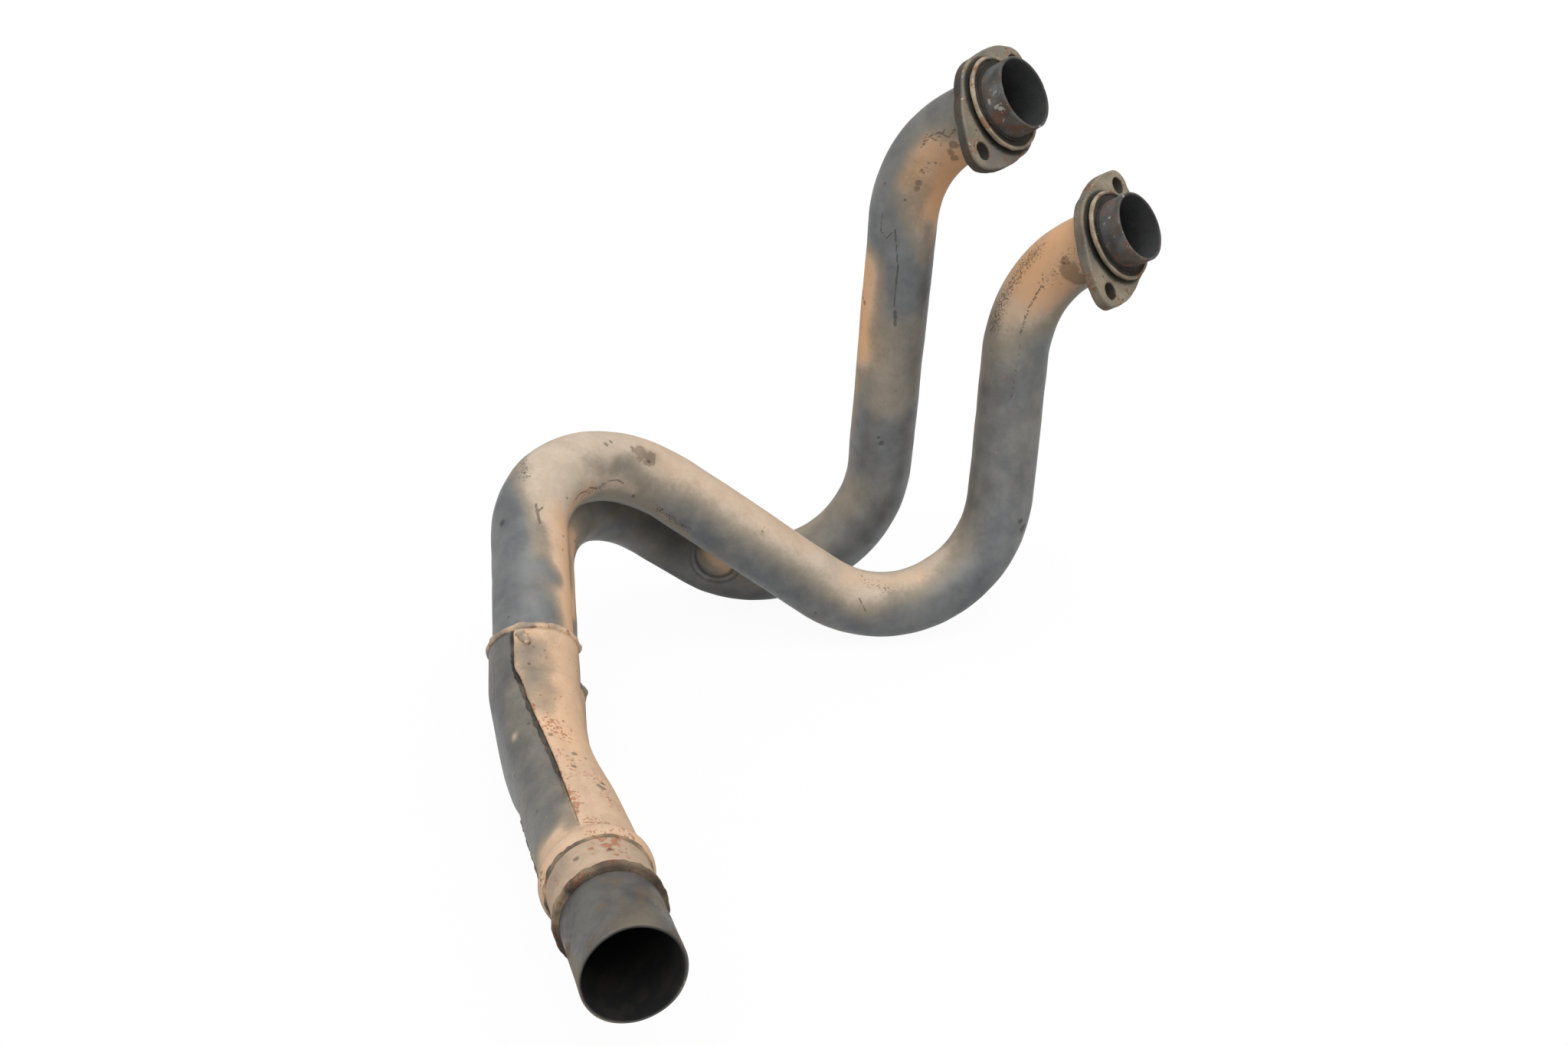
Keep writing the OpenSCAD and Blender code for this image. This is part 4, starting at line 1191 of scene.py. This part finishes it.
line, out, s = seam_line(lap_foot, 2.0, BULGE_START - 1, 0.2)
radius = (1.0 + 0.2 * waves(line, 9, 121) + 0.14 * waves(line, 3, 122)) * (0.4 + 0.6 * lap_share(s))
add_bead("front_seam_bead", line, out, np.clip(radius, 0.3, 1.6), weld_steel, "front_seam_weld",
         lambda skin: front_bead_marks(skin, 1 - lap_share(s)))
line, out, s = seam_line(back_seam, 2.0, BULGE_START - 1, 0.25)
radius = 0.95 + 0.12 * waves(line, 6, 125) + 0.08 * waves(line, 3, 126)
add_bead("back_seam_bead", line, out, np.clip(radius, 0.5, 1.15), weld_steel, "back_seam_weld",
         lambda skin: {"dust": patchy(skin.points, 0.4, 0.3, 14, 127),
                       "rust": patchy(skin.points, 0.3, 0.35, 7, 128)})

# weld lumps: pixel, radius and height in millimetres
LUMPS = ((683, 838, 3.2, 1.3), (673, 826, 2.2, 1.1), (664, 830, 2.2, 0.7), (762, 905, 3.0, 0.8))
RIDGE_STEP, RIDGE_R = 1.25, 1.6
RIDGE_LINES = ((0.8, (652, 841), (657, 836), (662, 832)), (0.8, (666, 838), (668, 850)))
RIDGE_DOTS = ((697, 827, 1.6),)
# a painted shadow line beside the lower ridge
RIDGE_SHADE = ((0.3, 2.2, (642, 850), (655, 838), (664, 832)),)
DRIP = ((677, 826), (682, 832), (688, 838), (690, 842))
DRIP_DEPTHS, DRIP_ANGLES = (0, 14), (168, 300)


def add_inlet_bead(node, side, dusty, seed):
    """The ridge round a pipe where it enters the collector, with waves, and lumps where the photograph
    shows them. The lower one has dark lines and a painted shadow line too."""
    origin = to_bench(np.array([side * INLET_SPACING / 2, 0, 0.0]))

    def relief(points):
        lump = Skin(points, points - origin).patches(LUMPS).reshape(points.shape[:-1])
        return np.clip(0.14 * waves(points, 8, seed) + 0.08 * waves(points, 3.2, seed + 1), -0.4, 0.3) + lump

    def ridge_marks(skin):
        marks = {"dust": patchy(skin.points, dusty, 0.2, 12, seed + 2),
                 "rust": patchy(skin.points, 0.14, 0.2, 8, seed + 3), "warm": np.full(len(skin.points), 0.1)}
        if side < 0:
            marks["mark"] = np.maximum(skin.lines(RIDGE_LINES), skin.dots(RIDGE_DOTS))
            marks["soot"] = skin.painted(np.zeros(len(skin.points)), RIDGE_SHADE)
        return marks

    ridge = rounded(TUBE_R + RIDGE_STEP, 0.0, RIDGE_R, -72, 160, 16)
    add_turned(node + "_bead", [(TUBE_R - 0.4, -1.4)] + ridge + [(TUBE_R - 0.4, 0.7)], (origin, POSE.T), relief,
               tan_steel, node, ridge_marks, 200)


def add_drip():
    """A short thick run of weld metal that hangs from the ridge over the right shell. Its flanks that face away from
    the shell are painted dark as shade.
    """
    s, p = np.meshgrid(np.linspace(*DRIP_DEPTHS, 60), np.linspace(*DRIP_ANGLES, 190), indexing="ij")
    skin = Skin(to_bench(section(s, p, 0.0)), section_out(s, p) @ POSE.T)
    corners = np.array([skin.under(pixel) for pixel in DRIP])
    t = np.linspace(0, len(DRIP) - 1, 30)
    line = np.stack([np.interp(t, np.arange(len(DRIP)), corners[:, n]) for n in range(3)], 1)
    near = np.argmin(np.linalg.norm(skin.points - corners[1], axis=1))
    out = np.repeat(skin.normals[near][None], len(line), 0)
    along = t / t[-1]
    radius = (2.3 - 0.6 * along + 0.25 * waves(line, 3, 161)) * np.sqrt(1.05 - (2 * along - 1) ** 6)
    add_bead("lower_inlet_weld_drip", line + 1.1 * out, out, radius, tan_steel, "lower_inlet_weld",
             lambda bead: {"dust": patchy(bead.points, 0.62, 0.2, 5, 162),
                           # painted shade on the flanks that face away from the shell
                           "soot": 0.5 * smooth(0.5 - (bead.normals * out[0]).sum(1)),
                           "rust": np.full(len(bead.points), 0.15)})


add_inlet_bead("lower_inlet_weld", -1, 0.74, 131)
add_inlet_bead("upper_inlet_weld", 1, 0.3, 135)
add_drip()


# ---- outlet ----

BODY_ORIGIN = to_bench(BODY_START)
BODY_AXES = (POSE @ BODY_MATRIX @ turn_matrix((1, 0, 0), 180)).T
ON_BODY = (BODY_ORIGIN, BODY_AXES)
INNER_END = BODY_LENGTH - SLEEVE_INSERT
RING_FRONT = RING_BACK + RING_WIDTH
BORE_R = OUTLET_R - OUTLET_WALL
RING_ROUND = 0.9
LIP_ROUND = 0.4
NECK_LEG = 1.0
SLEEVE_DUST = ((0.7, 5, (722, 1145), (732, 1128)),)
SLEEVE_DOTS = ((752, 1121, 1.3), (797, 1108, 1.4))
SLEEVE_RUST = ((800, 1100, 7, 0.5), (785, 1103, 6, 0.4), (816, 1118, 5, 0.45), (725, 1150, 4, 0.4))
OUTLET_DUST = ((0.5, 6, (866, 1180), (880, 1240), (888, 1290)), (0.5, 5, (744, 1250), (752, 1320)),
               (0.35, 4, (790, 1160), (810, 1190)), (0.04, 9, (765, 1150), (770, 1200)))
# darker down the tube's right side
OUTLET_RIGHT_DARKENING = ((0.35, 4.5, (872, 1185), (884, 1250)),)
OUTLET_SCRATCH = ((0.9, (885, 1293), (891, 1280)),)


def sleeve_marks(skin):
    """Under tan dust, with spots of rust."""
    drift = 0.97 + 0.06 * waves(skin.points, 22, 142)
    return {"dust": held(skin.painted(drift, SLEEVE_DUST)), "mark": skin.dots(SLEEVE_DOTS),
            "rust": held(skin.patches(SLEEVE_RUST) * (0.8 + 0.4 * waves(skin.points, 5, 143)))}


def ring_marks(skin):
    """Rusty, and dark along both of its faces."""
    height, _ = height_and_radius(skin.points, BODY_ORIGIN, BODY_AXES[2])
    dark = 0.5 * np.exp(-np.abs(height - RING_FRONT) / 0.9) + 0.4 * np.exp(-np.abs(height - RING_BACK) / 0.7)
    return {"dust": patchy(skin.points, 0.3, 0.3, 15, 146), "soot": dark,
            "rust": patchy(skin.points, 0.24, 0.2, 10, 147)}


def outlet_marks(skin):
    """Dull grey with tan smears outside, rust next to the ring, soot inside, and darker down the right side."""
    height, radius = height_and_radius(skin.points, BODY_ORIGIN, BODY_AXES[2])
    inside = smooth((OUTLET_R - 0.9 - radius) / 0.4)
    drift = 0.2 + 0.14 * waves(skin.points, 24, 149)
    rust = (0.04 + 0.08 * waves(skin.points, 14, 150)) * (1 - inside)
    return {"dust": held(skin.painted(drift, OUTLET_DUST)) * (1 - inside),
            "soot": np.maximum(inside, skin.painted(np.zeros(len(inside)), OUTLET_RIGHT_DARKENING)),
            "rust": held(rust + 0.4 * np.exp(-np.abs(height - RING_FRONT) / 1.2)),
            "stain": patchy(skin.points, 0.2, 0.2, 17, 156) * (1 - inside),
            "chip": skin.lines(OUTLET_SCRATCH) * (1 - inside)}


sleeve = [(SLEEVE_INNER_R, INNER_END), (SLEEVE_R, INNER_END), (SLEEVE_R, RING_BACK), (SLEEVE_INNER_R, RING_BACK)]
add_turned("outlet_sleeve_skin", dense(sleeve, 0.9), ON_BODY, lambda p: 0.08 * waves(p, 20, 141) - 0.04,
           sleeve_steel, "outlet_sleeve", sleeve_marks, sharp_degrees=50)

ring = ([(SLEEVE_INNER_R, RING_BACK)]
        + rounded(RING_R - RING_ROUND, RING_BACK + RING_ROUND, RING_ROUND, -90, 0, 5)
        + rounded(RING_R - RING_ROUND, RING_FRONT - RING_ROUND, RING_ROUND, 0, 90, 5)
        + [(SLEEVE_INNER_R, RING_FRONT)])
add_turned("stop_ring_skin", dense(ring, 0.6), ON_BODY,
           lambda p: np.clip(0.14 * waves(p, 9, 144) + 0.1 * waves(p, 4, 145) - 0.1, -0.5, 0.1),
           ring_rust, "stop_ring", ring_marks, sharp_degrees=60)

seated = SLEEVE_INNER_R - 0.02
tube = ([(BORE_R, INNER_END), (seated, INNER_END), (seated, RING_FRONT + 0.4), (OUTLET_R, RING_FRONT + 0.5)]
        + rounded(OUTLET_R - LIP_ROUND, OUTLET_MOUTH - LIP_ROUND, LIP_ROUND, 0, 90, 4)
        + rounded(BORE_R + LIP_ROUND, OUTLET_MOUTH - LIP_ROUND, LIP_ROUND, 90, 180, 4))
add_turned("outlet_tube_skin", dense(tube, 1.0), ON_BODY,
           lambda p: np.clip(0.1 * waves(p, 26, 148) - 0.06, -0.3, 0.02),
           outlet_steel, "outlet_tube", outlet_marks, 168, 50)

weld = ([(SLEEVE_R - 0.4, BODY_LENGTH - 0.8), (SLEEVE_R + NECK_LEG, BODY_LENGTH - 0.8)]
        + rounded(SLEEVE_R - 0.1, BODY_LENGTH - 0.1, NECK_LEG, 3, 88, 7)
        + [(SLEEVE_R - 0.4, BODY_LENGTH + NECK_LEG * 0.8)])
add_turned("neck_weld_bead", weld, ON_BODY,
           lambda p: np.clip(0.16 * waves(p, 6, 152) + 0.08 * waves(p, 3, 153), -0.4, 0.3),
           weld_steel, "neck_weld",
           lambda skin: {"dust": patchy(skin.points, 0.6, 0.25, 14, 154),
                         "rust": patchy(skin.points, 0.2, 0.2, 8, 155)})


# ---- camera, floor and light ----

SENSOR_WIDTH = 36.0

camera_data = bpy.data.cameras.new("camera")
camera_data.sensor_width = SENSOR_WIDTH
camera_data.sensor_fit = "HORIZONTAL"
camera_data.lens = SENSOR_WIDTH * FOCAL_PIXELS / IMAGE_SIZE[0]
camera_data.clip_start = 0.01
camera = bpy.data.objects.new("camera", camera_data)
bpy.context.scene.collection.objects.link(camera)
camera_matrix = np.eye(4)
camera_matrix[:3, 0], camera_matrix[:3, 1], camera_matrix[:3, 2] = CAMERA_RIGHT, CAMERA_UP, CAMERA_BACK
camera_matrix[:3, 3] = CAMERA_PLACE * MILLIMETRE
camera.matrix_world = Matrix(camera_matrix.tolist())
bpy.context.scene.camera = camera

FLOOR_REACH, FLOOR_SUNK = 40.0, -0.0002
FLOOR_GREY, FLOOR_GLOW, GLOW_SHARE = 0.28, 1.13, 0.84
SKY_ON_STEEL, SKY_SEEN = 0.68, 1.0
# name, power, spread in degrees, and direction of the light
SUNS = (("key_sun", 1.3, 55, (-0.1, 0.35, -1.0)), ("fill_sun", 0.5, 90, (0.3, 1.0, -0.35)))

floor_mesh = bpy.data.meshes.new("floor")
floor_mesh.from_pydata([(x * FLOOR_REACH, y * FLOOR_REACH, FLOOR_SUNK) for x, y in ((-1, -1), (1, -1), (1, 1), (-1, 1))],
                       [], [(0, 1, 2, 3)])
floor = bpy.data.objects.new("floor", floor_mesh)
bpy.context.scene.collection.objects.link(floor)

floor_paint = Recipe("floor_paint")
floor_paint.shader.inputs["Base Color"].default_value = (FLOOR_GREY, FLOOR_GREY, FLOOR_GREY, 1)
floor_paint.shader.inputs["Roughness"].default_value = 0.9
path = floor_paint.node("ShaderNodeLightPath")
glow = floor_paint.node("ShaderNodeEmission")
glow.inputs["Strength"].default_value = FLOOR_GLOW
glow.inputs["Color"].default_value = (1, 1, 1, 1)
seen = floor_paint.maths("MAXIMUM", path.outputs["Is Camera Ray"], path.outputs["Is Glossy Ray"])
mixer = floor_paint.node("ShaderNodeMixShader")
floor_paint.put(floor_paint.times(seen, GLOW_SHARE), mixer.inputs[0])
floor_paint.put(floor_paint.shader.outputs["BSDF"], mixer.inputs[1])
floor_paint.put(glow.outputs["Emission"], mixer.inputs[2])
floor_paint.put(mixer.outputs["Shader"], floor_paint.tree.nodes["Material Output"].inputs["Surface"])
floor_mesh.materials.append(floor_paint.material)

world = bpy.data.worlds.new("studio")
bpy.context.scene.world = world
world.use_nodes = True
tree = world.node_tree
sky = tree.nodes["Background"]
sky.inputs["Color"].default_value = (1, 1, 1, 1)
path = tree.nodes.new("ShaderNodeLightPath")
seen = tree.nodes.new("ShaderNodeMath")
seen.operation = "MAXIMUM"
tree.links.new(path.outputs["Is Camera Ray"], seen.inputs[0])
tree.links.new(path.outputs["Is Transmission Ray"], seen.inputs[1])
strength = tree.nodes.new("ShaderNodeMapRange")
strength.inputs["To Min"].default_value = SKY_ON_STEEL
strength.inputs["To Max"].default_value = SKY_SEEN
tree.links.new(seen.outputs[0], strength.inputs["Value"])
tree.links.new(strength.outputs["Result"], sky.inputs["Strength"])

for name, power, spread, way in SUNS:
    lamp = bpy.data.lights.new(name, "SUN")
    lamp.energy = power
    lamp.angle = np.radians(spread)
    holder = bpy.data.objects.new(name, lamp)
    bpy.context.scene.collection.objects.link(holder)
    back = -np.array(way) / np.linalg.norm(way)
    side = np.cross([0, 1.0, 0], back)
    side /= np.linalg.norm(side)
    matrix = np.eye(4)
    matrix[:3, 0], matrix[:3, 1], matrix[:3, 2] = side, np.cross(back, side), back
    holder.matrix_world = Matrix(matrix.tolist())

bpy.context.scene.view_settings.view_transform = "Standard"
